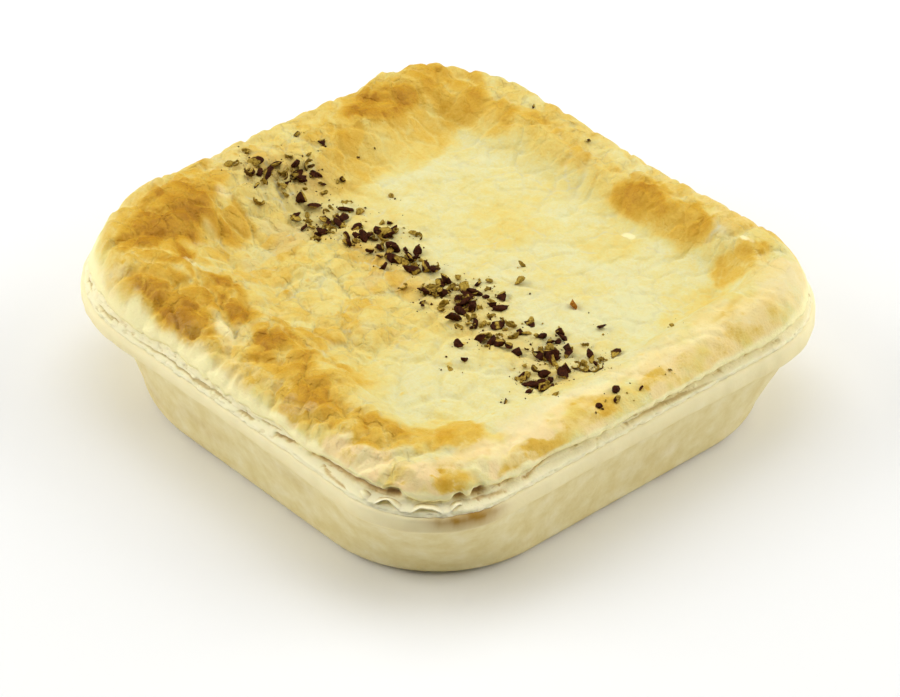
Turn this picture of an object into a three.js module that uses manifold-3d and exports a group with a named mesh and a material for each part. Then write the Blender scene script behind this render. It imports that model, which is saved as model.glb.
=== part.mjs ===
// A square single-serve beef pie: a tapered shortcrust base with a flange, and a puff pastry lid
// with a leafy edge, a raised rim, a sunken middle and cracked pepper strewn across it.
// Millimetres, +Z up. The origin is on the surface the pie stands on, under its middle,
// and the pepper lies in a band along X.
import * as THREE from "three";
import { mergeVertices } from "three/addons/utils/BufferGeometryUtils.js";
import Module from "manifold-3d";

const wasm = await Module();
wasm.setup();

// Outlines of the flange, which is the widest part of the pie, and of the foot. Their corner radii
// are given in the order they are walked: -X -Y, which is the roundest, +X -Y, +X +Y and -X +Y.
const FLANGE = { halfX: 54, halfY: 52, radii: [27, 19.5, 21.5, 24] };
const FOOT = { halfX: 49, halfY: 46.7, radii: [34, 24, 26, 24] };

// Base: foot, tapered wall, and the flange that the lid is sealed to.
const FOOT_RADIUS = 3;
const COVE_DEPTH = 0.7;
const LIP_RADIUS = 0.9;
const SEAM_Z = 19.6;
const SEAM_INSET = 0.9;
const FLANGE_WOBBLE = 0.35;
const WALL_WOBBLE = 0.3;
const WOBBLE_KNOTS = 11;
const WALL_SEED = 70;
const FLANGE_SEED = 71;

// Lid: its edge, and the rim round its sunken middle.
const LID_EDGE_Z = 22.5;
const LID_FLOOR_Z = 22.1;
const RIM_RISE_WIDTH = 5;
const LEAVES = 4;
const LEAF_GROOVE = 0.5;
const LEAF_RAGGED = 0.9;
const LEAF_KNOTS = 56;
const LEAF_SEED = 30;

// Each leaf, from 0 at its foot to 1 at the next one: where its face ends and where the groove is deepest.
const LEAF_FACE_END = 0.62;
const LEAF_GROOVE_AT = 0.82;

// Values that change round the pie are given at eight stations, every 45 degrees from +X.
const FLANGE_UNDERSIDE_Z = [16.2, 15.3, 16.0, 16.0, 16.0, 16.4, 17.0, 16.2];
const WALL_TOP_INSET = [1.5, 2.6, 2.0, 2.0, 2.0, 5.0, 1.5, 1.6];
const RIM_CREST_Z = [24.5, 27.2, 25.6, 26.6, 27.9, 28.4, 25.4, 25.0];
const RIM_INNER_START = [8, 8.5, 9, 10, 11, 12, 13, 10];
const RIM_INNER_END = [15, 15.5, 17, 20, 24, 25, 25, 18];
const LEAF_FOOT_INSET = [1.4, 1.4, 1.4, 1.4, 1.4, 1.3, 1.2, 1.3];
const LEAF_TOP_INSET = [1.8, 1.9, 1.9, 1.9, 1.9, 2.1, 2.5, 2.9];

// Blisters that the oven raised in the lid: middle, half-widths and rise.
const BLISTERS = [
  { x: -40, y: -25, wide: 11, deep: 10, rise: 1.1 },
  { x: -28, y: -40, wide: 10, deep: 6, rise: 0.9 },
  { x: -16, y: -31, wide: 7, deep: 6, rise: 0.8 },
  { x: -17, y: -15, wide: 9, deep: 8, rise: 1.2 },
  { x: 1, y: -22, wide: 10, deep: 8, rise: 1.4 },
  { x: 0, y: -36, wide: 10, deep: 6, rise: 0.9 },
  { x: 14, y: -38, wide: 10, deep: 7, rise: 1.0 },
  { x: 27, y: -41, wide: 9, deep: 6, rise: 0.7 },
  { x: 39, y: -31, wide: 8, deep: 6, rise: 0.6 },
  { x: -46, y: 33, wide: 8, deep: 12, rise: 1.5 },
  { x: -36, y: 20, wide: 8, deep: 9, rise: 0.7 },
  { x: 8, y: 40, wide: 11, deep: 6, rise: 0.7 },
  { x: 2, y: 21, wide: 10, deep: 7, rise: 0.5 },
  { x: -16, y: 8, wide: 8, deep: 6, rise: 0.4 },
];

// Small puffs between the blisters, one to a cell of a jittered grid.
const PUFF_PITCH = 8;
const PUFF_RISE = 0.6;
const PUFF_CREASE = 2.4;
const PUFF_SEED_X = 1;
const PUFF_SEED_Y = 2;
const FLOOR_CALM = 0.3;
const FLOOR_CALM_Y = [-10, 0];
const EVEN_RIM_X = [38, 46];
const EVEN_RIM_SHARE = 0.65;

// Cracked pepper: places where it fell thick, with the spread and number of pieces there.
const PEPPER_DRIFTS = [
  { x: -40, y: -9.5, spreadX: 2.6, spreadY: 1.8, pieces: 8 },
  { x: -35, y: -2.5, spreadX: 2.6, spreadY: 2.8, pieces: 20 },
  { x: -26, y: -4.5, spreadX: 3.4, spreadY: 3.6, pieces: 22 },
  { x: -15, y: -2, spreadX: 3, spreadY: 3, pieces: 20 },
  { x: -5, y: -2.5, spreadX: 2.8, spreadY: 1.8, pieces: 14 },
  { x: 4, y: -4, spreadX: 2.6, spreadY: 2.6, pieces: 18 },
  { x: 10, y: -1.5, spreadX: 2.6, spreadY: 2.6, pieces: 20 },
  { x: 16, y: -5.5, spreadX: 2.6, spreadY: 2.4, pieces: 11 },
  { x: 22, y: -4, spreadX: 2, spreadY: 4, pieces: 10 },
  { x: 29, y: -1.5, spreadX: 2.4, spreadY: 2.8, pieces: 18 },
  { x: 35.5, y: -6.5, spreadX: 2, spreadY: 3.2, pieces: 16 },
  { x: 37, y: 1.5, spreadX: 1.3, spreadY: 1.8, pieces: 8 },
];

// Single pieces that stand out: place and size.
const PEPPER_STRAYS = [
  [-42, -8.5, 2.8], [-39, 6, 2.5], [-43.5, 3.5, 1.8], [-32, 4.8, 2.3], [-35, 11, 1.1], [-34.5, 0, 2],
  [-36.5, -11.5, 1.6], [-34, -12.8, 2.4], [-26, -9.5, 2], [-23.5, 9, 1.6], [-27.5, 2, 2.2], [-17.5, 3.3, 1.8],
  [-12, 4, 2.2], [-16.5, -7, 2.9], [-12, -3.5, 2.6], [-7, -3.4, 3], [-2, -1.8, 3.6], [-24, 44, 1.4],
  [-9, 44, 2.4], [7, 2.8, 2.2], [8, 12, 2], [11.5, 8.3, 2.8], [13, -8.6, 3.6], [16, -6, 2.4],
  [19, -12.7, 2.6], [23, -14.5, 2.2], [23, -18, 1.6], [23, 10.5, 2.6], [27, -6, 2.8], [29, 2.8, 2.2],
  [31, 9.7, 2.3], [33, 0, 2.6], [36, 2.5, 3.1], [37, -5, 3.4], [37, -12.5, 1.8], [36, -17, 1.8],
  [40, 18, 1.5], [48, -3, 2.5], [49, -8, 2], [50, 1, 1.6], [50, -4.5, 1.6], [49.8, 8, 1],
];
const PEPPER_SEED = 41;
const PEPPER_SIZE = [1.5, 3.7];
const PEPPER_SIZE_BIAS = 1.5;
const PEPPER_WIDTH = [0.5, 0.85];
const PEPPER_THICKNESS = [0.3, 0.55];
const PEPPER_TILT = 0.2;
const PEPPER_ROUGHEN = 0.32;
const PEPPER_ROUGHEN_SEED = 9;
const PEPPER_RAISED = 0.14;
const SOLID_GRAINS = 84;

// Fineness of the faceted surfaces.
const CELLS_ACROSS = 36;
const FOOT_STEPS = 3;
const LIP_STEPS = 2;
const PEPPER_DETAIL = 0;
const MERGE_WITHIN = 1e-4;

const PASTRY_PALE = 0xe3d7a2;
const PASTRY_GOLD = 0xe6cb84;
const SHORTCRUST_ROUGHNESS = 0.75;
const PUFF_ROUGHNESS = 0.6;
const WORD_SPAN = 2 ** 32;

// Repeatable draws, and smooth functions of place.

function drawsFrom(seed) {
  let state = seed >>> 0;
  return () => {
    state = (state + 0x6d2b79f5) >>> 0;
    let mixed = Math.imul(state ^ (state >>> 15), state | 1);
    mixed ^= mixed + Math.imul(mixed ^ (mixed >>> 7), mixed | 61);
    return ((mixed ^ (mixed >>> 14)) >>> 0) / WORD_SPAN;
  };
}

function scatterHash(i, j, seed) {
  let mixed = Math.imul(i, 374761393) + Math.imul(j, 668265263) + Math.imul(seed, 2246822519);
  mixed = Math.imul(mixed ^ (mixed >>> 13), 1274126177);
  return ((mixed ^ (mixed >>> 16)) >>> 0) / WORD_SPAN;
}

function easeBetween(low, high, value) {
  const share = THREE.MathUtils.clamp((value - low) / (high - low), 0, 1);
  return share * share * (3 - 2 * share);
}

// A value that wanders between 0 and 1 along a closed loop, where round runs from 0 to 1.
function loopNoise(round, knots, seed) {
  const at = (((round % 1) + 1) % 1) * knots;
  const first = Math.floor(at) % knots;
  const share = easeBetween(0, 1, at - Math.floor(at));
  return scatterHash(first, 0, seed) * (1 - share) + scatterHash((first + 1) % knots, 0, seed) * share;
}

// A value given at eight stations, blended round the pie.
function atStation(values, x, y) {
  const turn = Math.atan2(y / FLANGE.halfY, x / FLANGE.halfX) / (Math.PI / 4);
  const at = (turn + 8) % 8;
  const first = Math.floor(at) % 8;
  const share = (1 - Math.cos(Math.PI * (at - Math.floor(at)))) / 2;
  return values[first] * (1 - share) + values[(first + 1) % 8] * share;
}

// Outline: a rectangle with round corners, walked from corner middle to corner middle.

const SIDES = [
  { along: [1, 0], out: [0, -1], half: "halfX", reach: "halfY" },
  { along: [0, 1], out: [1, 0], half: "halfY", reach: "halfX" },
  { along: [-1, 0], out: [0, 1], half: "halfX", reach: "halfY" },
  { along: [0, -1], out: [-1, 0], half: "halfY", reach: "halfX" },
];

// An outline at walk, from 0 to 4: a point and its outward direction.
function outlineAt(outline, walk) {
  const corner = Math.floor(walk) % 4;
  const side = SIDES[corner];
  const half = outline[side.half];
  const halfLength = (radius) => half - radius + (radius * Math.PI) / 4;
  const before = halfLength(outline.radii[corner]);
  const after = halfLength(outline.radii[(corner + 1) % 4]);
  const travelled = (walk - Math.floor(walk)) * (before + after) - before;
  const radius = outline.radii[travelled < 0 ? corner : (corner + 1) % 4];
  const straight = half - radius;
  const past = Math.max(0, Math.abs(travelled) - straight);
  const bend = (Math.sign(travelled) * past) / radius;
  const along = THREE.MathUtils.clamp(travelled, -straight, straight) + radius * Math.sin(bend);
  const out = outline[side.reach] - radius + radius * Math.cos(bend);
  const place = (a, b) => [side.along[0] * a + side.out[0] * b, side.along[1] * a + side.out[1] * b];
  const [x, y] = place(along, out);
  const [nx, ny] = place(Math.sin(bend), Math.cos(bend));
  return { x, y, nx, ny };
}

function insetPoint(edge, inset, z) {
  return new THREE.Vector3(edge.x - edge.nx * inset, edge.y - edge.ny * inset, z);
}

// How far a place is inside the flange outline.
function insideBy(x, y) {
  const corner = y < 0 ? (x < 0 ? 0 : 1) : (x < 0 ? 3 : 2);
  const radius = FLANGE.radii[corner];
  const dx = Math.abs(x) - (FLANGE.halfX - radius);
  const dy = Math.abs(y) - (FLANGE.halfY - radius);
  const outer = Math.hypot(Math.max(dx, 0), Math.max(dy, 0));
  return radius - outer - Math.min(Math.max(dx, dy), 0);
}

// Surface of the lid.

function rimHeight(x, y) {
  const inset = Math.max(0, insideBy(x, y) - atStation(LEAF_TOP_INSET, x, y));
  const crest = atStation(RIM_CREST_Z, x, y);
  const rise = 1 - Math.pow(1 - Math.min(inset / RIM_RISE_WIDTH, 1), 2);
  const fall = easeBetween(atStation(RIM_INNER_START, x, y), atStation(RIM_INNER_END, x, y), inset);
  return LID_EDGE_Z + (crest - LID_EDGE_Z) * rise - (crest - LID_FLOOR_Z) * fall;
}

function blisterHeight(x, y) {
  let height = 0;
  for (const blister of BLISTERS) {
    const away = ((x - blister.x) / blister.wide) ** 2 + ((y - blister.y) / blister.deep) ** 2;
    height += blister.rise * Math.max(0, 1 - away) ** 2 * (1 + 2 * Math.min(away, 1));
  }
  return height;
}

// Puffs are highest in the middle of their cell and drop to a crease where two cells meet.
function puffHeight(x, y) {
  const column = Math.floor(x / PUFF_PITCH);
  const row = Math.floor(y / PUFF_PITCH);
  let nearest = Infinity;
  let second = Infinity;
  for (let i = column - 1; i <= column + 1; i++) {
    for (let j = row - 1; j <= row + 1; j++) {
      const seedX = (i + scatterHash(i, j, PUFF_SEED_X)) * PUFF_PITCH;
      const seedY = (j + scatterHash(i, j, PUFF_SEED_Y)) * PUFF_PITCH;
      const away = Math.hypot(x - seedX, y - seedY);
      second = Math.min(second, Math.max(nearest, away));
      nearest = Math.min(nearest, away);
    }
  }
  const onFloor = easeBetween(FLOOR_CALM_Y[0], FLOOR_CALM_Y[1], y)
    * easeBetween(atStation(RIM_INNER_START, x, y), atStation(RIM_INNER_END, x, y), insideBy(x, y));
  const evenRim = EVEN_RIM_SHARE * easeBetween(EVEN_RIM_X[0], EVEN_RIM_X[1], x);
  const loud = (1 - (1 - FLOOR_CALM) * onFloor) * (1 - evenRim);
  return PUFF_RISE * loud * easeBetween(0, PUFF_CREASE, second - nearest);
}

function lidHeight(x, y) {
  const settle = easeBetween(0, RIM_RISE_WIDTH, insideBy(x, y));
  return rimHeight(x, y) + settle * (blisterHeight(x, y) + puffHeight(x, y));
}

// Closed skins from triangles.

class Skin {
  constructor() {
    this.corners = [];
  }

  triangle(a, b, c) {
    for (const p of [a, b, c]) this.corners.push(p.x, p.y, p.z);
  }

  // a, b, c and d go round the face anticlockwise, seen from outside.
  quad(a, b, c, d) {
    this.triangle(a, b, c);
    this.triangle(a, c, d);
  }

  // Joins two closed rings of points that run anticlockwise seen from above.
  band(lower, upper) {
    lower.forEach((point, i) => {
      const next = (i + 1) % lower.length;
      this.quad(point, lower[next], upper[next], upper[i]);
    });
  }

  capBelow(ring, z) {
    const middle = new THREE.Vector3(0, 0, z);
    ring.forEach((point, i) => this.triangle(middle, ring[(i + 1) % ring.length], point));
  }

  capAbove(ring, z) {
    const middle = new THREE.Vector3(0, 0, z);
    ring.forEach((point, i) => this.triangle(middle, point, ring[(i + 1) % ring.length]));
  }

  geometry() {
    const loose = new THREE.BufferGeometry();
    loose.setAttribute("position", new THREE.Float32BufferAttribute(this.corners, 3));
    return mergeVertices(loose, MERGE_WITHIN);
  }
}

function solidOf(geometry) {
  return new wasm.Manifold(
    new wasm.Mesh({
      numProp: 3,
      vertProperties: new Float32Array(geometry.attributes.position.array),
      triVerts: new Uint32Array(geometry.index.array),
    }),
  );
}

function geometryOf(solid) {
  const mesh = solid.getMesh();
  const geometry = new THREE.BufferGeometry();
  geometry.setAttribute("position", new THREE.BufferAttribute(mesh.vertProperties, 3));
  geometry.setIndex(new THREE.BufferAttribute(mesh.triVerts, 1));
  geometry.computeVertexNormals();
  return geometry;
}

// Base.

const POINTS_ROUND = 4 * CELLS_ACROSS;
const walkRound = (outline) =>
  Array.from({ length: POINTS_ROUND }, (_, i) => outlineAt(outline, (4 * i) / POINTS_ROUND));
const EDGES = walkRound(FLANGE);
const FOOT_EDGES = walkRound(FOOT);

// Points up the outside of the base at one place round it, from its foot to the seam.
function baseProfile(edge, footEdge, round) {
  const wallWander = WALL_WOBBLE * loopNoise(round, WOBBLE_KNOTS, WALL_SEED);
  const lipWander = FLANGE_WOBBLE * loopNoise(round, WOBBLE_KNOTS, FLANGE_SEED);
  const underside = atStation(FLANGE_UNDERSIDE_Z, edge.x, edge.y);
  const profile = [];
  for (let step = 0; step <= FOOT_STEPS; step++) {
    const bend = (step / FOOT_STEPS) * (Math.PI / 2);
    const inset = FOOT_RADIUS * (1 - Math.sin(bend));
    profile.push(insetPoint(footEdge, inset, FOOT_RADIUS * (1 - Math.cos(bend))));
  }
  const wallTop = insetPoint(edge, atStation(WALL_TOP_INSET, edge.x, edge.y), underside - COVE_DEPTH);
  const wallMiddle = profile.at(-1).clone().lerp(wallTop, 0.5);
  wallMiddle.x -= edge.nx * wallWander;
  wallMiddle.y -= edge.ny * wallWander;
  profile.push(wallMiddle, wallTop);
  for (let step = 0; step <= LIP_STEPS; step++) {
    const bend = (step / LIP_STEPS) * (Math.PI / 2);
    const inset = LIP_RADIUS * (1 - Math.sin(bend)) + lipWander;
    profile.push(insetPoint(edge, inset, underside + LIP_RADIUS * (1 - Math.cos(bend))));
  }
  for (let step = 0; step <= LIP_STEPS; step++) {
    const bend = (step / LIP_STEPS) * (Math.PI / 2);
    const inset = SEAM_INSET * (1 - Math.cos(bend)) + lipWander;
    profile.push(insetPoint(edge, inset, SEAM_Z - LIP_RADIUS * (1 - Math.sin(bend))));
  }
  return profile;
}

function makeBase() {
  const skin = new Skin();
  const profiles = EDGES.map((edge, i) => baseProfile(edge, FOOT_EDGES[i], i / POINTS_ROUND));
  const rings = profiles[0].map((_, level) => profiles.map((profile) => profile[level]));
  skin.capBelow(rings[0], 0);
  rings.slice(1).forEach((ring, i) => skin.band(rings[i], ring));
  skin.capAbove(rings.at(-1), SEAM_Z);
  return skin.geometry();
}

// Lid.

// How far in the lid's edge is at a share of its height, with ragged leaves and grooves between them.
function leafInset(edge, round, share) {
  const lower = atStation(LEAF_FOOT_INSET, edge.x, edge.y);
  const upper = atStation(LEAF_TOP_INSET, edge.x, edge.y);
  const leaf = Math.min(LEAVES - 1, Math.floor(share * LEAVES));
  const ragged = LEAF_RAGGED * (loopNoise(round, LEAF_KNOTS, LEAF_SEED + leaf) - 0.5);
  return lower + (upper - lower) * share + ragged;
}

// Rings up the lid's edge: each leaf has a lower and an upper rim, with a groove above it.
function lidEdgeRings(topRing) {
  const rings = [];
  for (let leaf = 0; leaf < LEAVES; leaf++) {
    for (const [part, groove] of [[0, 0], [LEAF_FACE_END, 0], [LEAF_GROOVE_AT, LEAF_GROOVE]]) {
      const share = (leaf + part) / LEAVES;
      if (leaf === LEAVES - 1 && groove > 0) continue;
      rings.push(
        EDGES.map((edge, i) => {
          const inset = leafInset(edge, i / POINTS_ROUND, share) + groove;
          return insetPoint(edge, inset, SEAM_Z + (topRing[i].z - SEAM_Z) * share);
        }),
      );
    }
  }
  return rings;
}

// A point of the lid's top: u and v count cells from the middle, and square rings become the outline.
function lidTopPoint(u, v) {
  const half = CELLS_ACROSS / 2;
  const ring = Math.max(Math.abs(u), Math.abs(v));
  if (ring === 0) return new THREE.Vector3(0, 0, lidHeight(0, 0));
  let walk;
  if (v === -ring) walk = (u + ring) / (2 * ring);
  else if (u === ring) walk = 1 + (v + ring) / (2 * ring);
  else if (v === ring) walk = 2 + (ring - u) / (2 * ring);
  else walk = 3 + (ring - v) / (2 * ring);
  const edge = outlineAt(FLANGE, walk % 4);
  const rim = insetPoint(edge, leafInset(edge, (walk % 4) / 4, 1), 0);
  const x = (rim.x * ring) / half;
  const y = (rim.y * ring) / half;
  return new THREE.Vector3(x, y, lidHeight(x, y));
}

// The grid points on the outside of the lid's top, in the order of the outline.
function lidTopRing() {
  const half = CELLS_ACROSS / 2;
  const ring = [];
  for (let i = -half; i < half; i++) ring.push(lidTopPoint(i, -half));
  for (let i = -half; i < half; i++) ring.push(lidTopPoint(half, i));
  for (let i = half; i > -half; i--) ring.push(lidTopPoint(i, half));
  for (let i = half; i > -half; i--) ring.push(lidTopPoint(-half, i));
  return ring;
}

function makeBareLid() {
  const skin = new Skin();
  const half = CELLS_ACROSS / 2;
  for (let u = -half; u < half; u++) {
    for (let v = -half; v < half; v++) {
      const cell = [[0, 0], [1, 0], [1, 1], [0, 1]].map(([i, j]) => lidTopPoint(u + i, v + j));
      // A cell is split towards the middle of the lid, so that none is thin where the corners are round.
      if ((u + 0.5) * (v + 0.5) < 0) cell.push(cell.shift());
      skin.quad(...cell);
    }
  }
  const topRing = lidTopRing();
  const rings = [...lidEdgeRings(topRing), topRing];
  skin.capBelow(rings[0], SEAM_Z);
  rings.slice(1).forEach((ring, i) => skin.band(rings[i], ring));
  return skin.geometry();
}

// Pepper.

// Where each piece of pepper lies and how it is shaped, drawn in one fixed order.
function pepperGrains() {
  const draw = drawsFrom(PEPPER_SEED);
  const bell = () => draw() + draw() + draw() - 1.5;
  const grains = [];
  const add = (x, y, size) => {
    const between = ([low, high]) => low + (high - low) * draw();
    const shape = [1, between(PEPPER_WIDTH), between(PEPPER_THICKNESS)];
    const turn = [PEPPER_TILT, PEPPER_TILT, 1].map((share) => (draw() - 0.5) * 2 * Math.PI * share);
    grains.push({ x, y, size, shape, turn });
  };
  for (const drift of PEPPER_DRIFTS) {
    for (let i = 0; i < drift.pieces; i++) {
      const x = drift.x + bell() * 2 * drift.spreadX;
      const y = drift.y + bell() * 2 * drift.spreadY;
      const share = Math.pow(draw(), PEPPER_SIZE_BIAS);
      add(x, y, PEPPER_SIZE[0] + (PEPPER_SIZE[1] - PEPPER_SIZE[0]) * share);
    }
  }
  for (const [x, y, size] of PEPPER_STRAYS) add(x, y, size);
  return grains;
}

function makeGrain({ x, y, size, shape, turn }, index) {
  const lump = new THREE.IcosahedronGeometry(size / 2, PEPPER_DETAIL);
  lump.deleteAttribute("normal");
  lump.deleteAttribute("uv");
  const geometry = mergeVertices(lump, MERGE_WITHIN);
  const points = geometry.attributes.position;
  for (let i = 0; i < points.count; i++) {
    const rough = 1 + PEPPER_ROUGHEN * (scatterHash(index, i, PEPPER_ROUGHEN_SEED) - 0.5);
    points.setXYZ(i, points.getX(i) * rough, points.getY(i) * rough, points.getZ(i) * rough);
  }
  geometry.scale(...shape);
  geometry.rotateX(turn[0]).rotateY(turn[1]).rotateZ(turn[2]);
  geometry.translate(x, y, lidHeight(x, y) + size * PEPPER_RAISED);
  return geometry;
}

// The lid with the largest pieces of pepper baked on to it.
function makeLid() {
  const largest = pepperGrains()
    .sort((a, b) => b.size - a.size)
    .slice(0, SOLID_GRAINS);
  const grains = largest.map((grain, i) => solidOf(makeGrain(grain, i)));
  const fused = wasm.Manifold.union([solidOf(makeBareLid()), ...grains]);
  const bodies = fused.decompose().sort((a, b) => b.volume() - a.volume());
  return geometryOf(bodies[0]);
}

// Pie.

function pastry(name, geometry, color, roughness) {
  const mesh = new THREE.Mesh(geometry, new THREE.MeshStandardMaterial({ color, roughness, metalness: 0 }));
  mesh.name = name;
  return mesh;
}

const pie = new THREE.Group();
pie.add(pastry("base_crust", makeBase(), PASTRY_PALE, SHORTCRUST_ROUGHNESS));
pie.add(pastry("puff_lid", makeLid(), PASTRY_GOLD, PUFF_ROUGHNESS));

export default pie;
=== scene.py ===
"""Looks of a square beef pie: shortcrust base, blistered puff pastry lid and cracked pepper.

Sizes of the pie are in millimetres here and become metres where meshes are made.
X runs along the band of pepper, and the camera looks at the corner between +X and -Y.
"""

from __future__ import annotations

import logging
import math
from collections.abc import Callable, Iterator
from dataclasses import dataclass
from enum import Enum

import bmesh
import bpy
import numpy as np
from mathutils import Matrix, Vector


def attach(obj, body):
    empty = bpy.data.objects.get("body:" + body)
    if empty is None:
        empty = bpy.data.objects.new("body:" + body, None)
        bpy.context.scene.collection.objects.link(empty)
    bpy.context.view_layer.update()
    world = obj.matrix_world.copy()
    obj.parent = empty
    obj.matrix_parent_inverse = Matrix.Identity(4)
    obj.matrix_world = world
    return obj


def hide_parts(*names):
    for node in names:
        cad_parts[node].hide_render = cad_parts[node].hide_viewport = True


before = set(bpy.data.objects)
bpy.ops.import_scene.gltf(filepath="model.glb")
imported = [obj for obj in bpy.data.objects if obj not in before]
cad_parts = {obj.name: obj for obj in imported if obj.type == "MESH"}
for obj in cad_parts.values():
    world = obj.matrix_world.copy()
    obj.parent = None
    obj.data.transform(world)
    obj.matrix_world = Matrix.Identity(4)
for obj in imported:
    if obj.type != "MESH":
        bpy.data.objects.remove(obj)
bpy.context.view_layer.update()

log = logging.getLogger("pie")

MM = 0.001
ROOT = "root"
Array = np.ndarray
Span = tuple[float, float]
Triple = tuple[float, float, float]
Stations = tuple[float, ...]
Stops = tuple[tuple[float, str], ...]
Socket = bpy.types.NodeSocket
Tree = bpy.types.NodeTree
Material = bpy.types.Material
Piece = bpy.types.Object


class Node(Enum):
    """Parts of the pie that the pieces stand for."""

    BASE = "base_crust"
    LID = "puff_lid"


class Slot(Enum):
    """Material slots of the record."""

    SHORTCRUST = "shortcrust"
    PUFF = "puff_pastry"


class Grain(Enum):
    """Kinds of cracked pepper."""

    HUSK = "husk"
    SHELL = "shell"
    KERNEL = "kernel"
    SEED = "seed"


# Small functions of numbers.


def linear(code: str) -> tuple[float, float, float, float]:
    """Turn an sRGB colour into the linear values that shaders take.

    Args:
        code: Colour as six hex digits.

    Returns:
        Linear red, green, blue and an alpha of one.
    """
    toe, toe_slope, offset, power = 0.04045, 12.92, 0.055, 2.4
    values = [int(code[i : i + 2], 16) / 255 for i in (0, 2, 4)]
    red, green, blue = (
        v / toe_slope if v <= toe else ((v + offset) / (1 + offset)) ** power for v in values
    )
    return red, green, blue, 1.0


def ease(low: Array | float, high: Array | float, value: Array | float) -> Array:
    """Rise smoothly from 0 where the value is low to 1 where it is high."""
    share = np.clip((value - low) / (high - low), 0, 1)
    return share * share * (3 - 2 * share)


def at_least(least: float, share: Array) -> Array:
    """Rise from a least value where the share is 0 to 1 where it is 1."""
    return least + (1 - least) * share


def draws_from(seed: int) -> Iterator[float]:
    """Give the same even draws between 0 and 1 for the same seed.

    Args:
        seed: Start of the run.

    Yields:
        Draws between 0 and 1.
    """
    word = 0xFFFFFFFF
    state = seed
    while True:
        state = (state + 0x6D2B79F5) & word
        mixed = ((state ^ (state >> 15)) * (state | 1)) & word
        mixed ^= (mixed + ((mixed ^ (mixed >> 7)) * (mixed | 61) & word)) & word
        yield ((mixed ^ (mixed >> 14)) & word) / 2**32


def scatter_hash(i: Array | int, j: Array | int, seed: int) -> Array:
    """Give every cell of a grid its own fixed value between 0 and 1.

    Args:
        i: Columns of the cells.
        j: Rows of the cells.
        seed: Picks one of many such grids.

    Returns:
        One value for each cell.
    """
    word = np.uint64(0xFFFFFFFF)
    column = np.asarray(i).astype(np.int64).astype(np.uint64) & word
    row = np.asarray(j).astype(np.int64).astype(np.uint64) & word
    mixed = column * np.uint64(374761393) + row * np.uint64(668265263)
    mixed = (mixed + np.uint64(seed * 2246822519 & 0xFFFFFFFF)) & word
    mixed = ((mixed ^ (mixed >> np.uint64(13))) * np.uint64(1274126177)) & word
    return (mixed ^ (mixed >> np.uint64(16))).astype(np.float64) / 2**32


def loop_noise(round_share: Array, knots: int, seed: int) -> Array:
    """Wander between 0 and 1 along a closed loop.

    Args:
        round_share: Places on the loop, from 0 to 1.
        knots: Number of free values on the loop.
        seed: Picks the values.

    Returns:
        Values between 0 and 1.
    """
    at = (round_share % 1) * knots
    first = np.floor(at).astype(int) % knots
    share = ease(0, 1, at - np.floor(at))
    here, there = scatter_hash(first, 0, seed), scatter_hash((first + 1) % knots, 0, seed)
    return here * (1 - share) + there * share


def field_noise(x: Array, y: Array, pitch: float, seed: int, octaves: int = 3) -> Array:
    """Wander between 0 and 1 over a plane, with finer and fainter detail in each octave.

    Args:
        x, y: Places along X and Y.
        pitch: Width of the coarsest lumps.
        seed: Picks the pattern.
        octaves: Number of layers of detail.

    Returns:
        Values about one half.
    """
    total, weight, weights = np.zeros_like(x), 1.0, 0.0
    for octave in range(octaves):
        u, v = x / pitch, y / pitch
        i, j = np.floor(u), np.floor(v)
        s, t = ease(0, 1, u - i), ease(0, 1, v - j)
        corner = [scatter_hash(i + a, j + b, seed + octave) for a in (0, 1) for b in (0, 1)]
        low = corner[0] * (1 - t) + corner[1] * t
        high = corner[2] * (1 - t) + corner[3] * t
        total += weight * (low * (1 - s) + high * s)
        weights += weight
        weight, pitch = weight / 2, pitch / 2
    return total / weights


def cells(x: Array, y: Array, pitch: float, seeds: tuple[int, int]) -> tuple[Array, Array, Array]:
    """Divide a plane into uneven cells round jittered seeds.

    Args:
        x, y: Places along X and Y.
        pitch: Mean width of a cell.
        seeds: Two seeds for the jitter.

    Returns:
        Distance to the nearest seed, how much farther the next one is, and a fixed value per cell.
    """
    column, row = np.floor(x / pitch), np.floor(y / pitch)
    nearest, second, value = np.full_like(x, np.inf), np.full_like(x, np.inf), np.zeros_like(x)
    for di in (-1, 0, 1):
        for dj in (-1, 0, 1):
            i, j = column + di, row + dj
            seed_x = (i + scatter_hash(i, j, seeds[0])) * pitch
            seed_y = (j + scatter_hash(i, j, seeds[1])) * pitch
            away = np.hypot(x - seed_x, y - seed_y)
            second = np.minimum(second, np.maximum(nearest, away))
            value = np.where(away < nearest, scatter_hash(i, j, sum(seeds) + 100), value)
            nearest = np.minimum(nearest, away)
    return nearest, second - nearest, value


# Shape of the pie.


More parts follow.
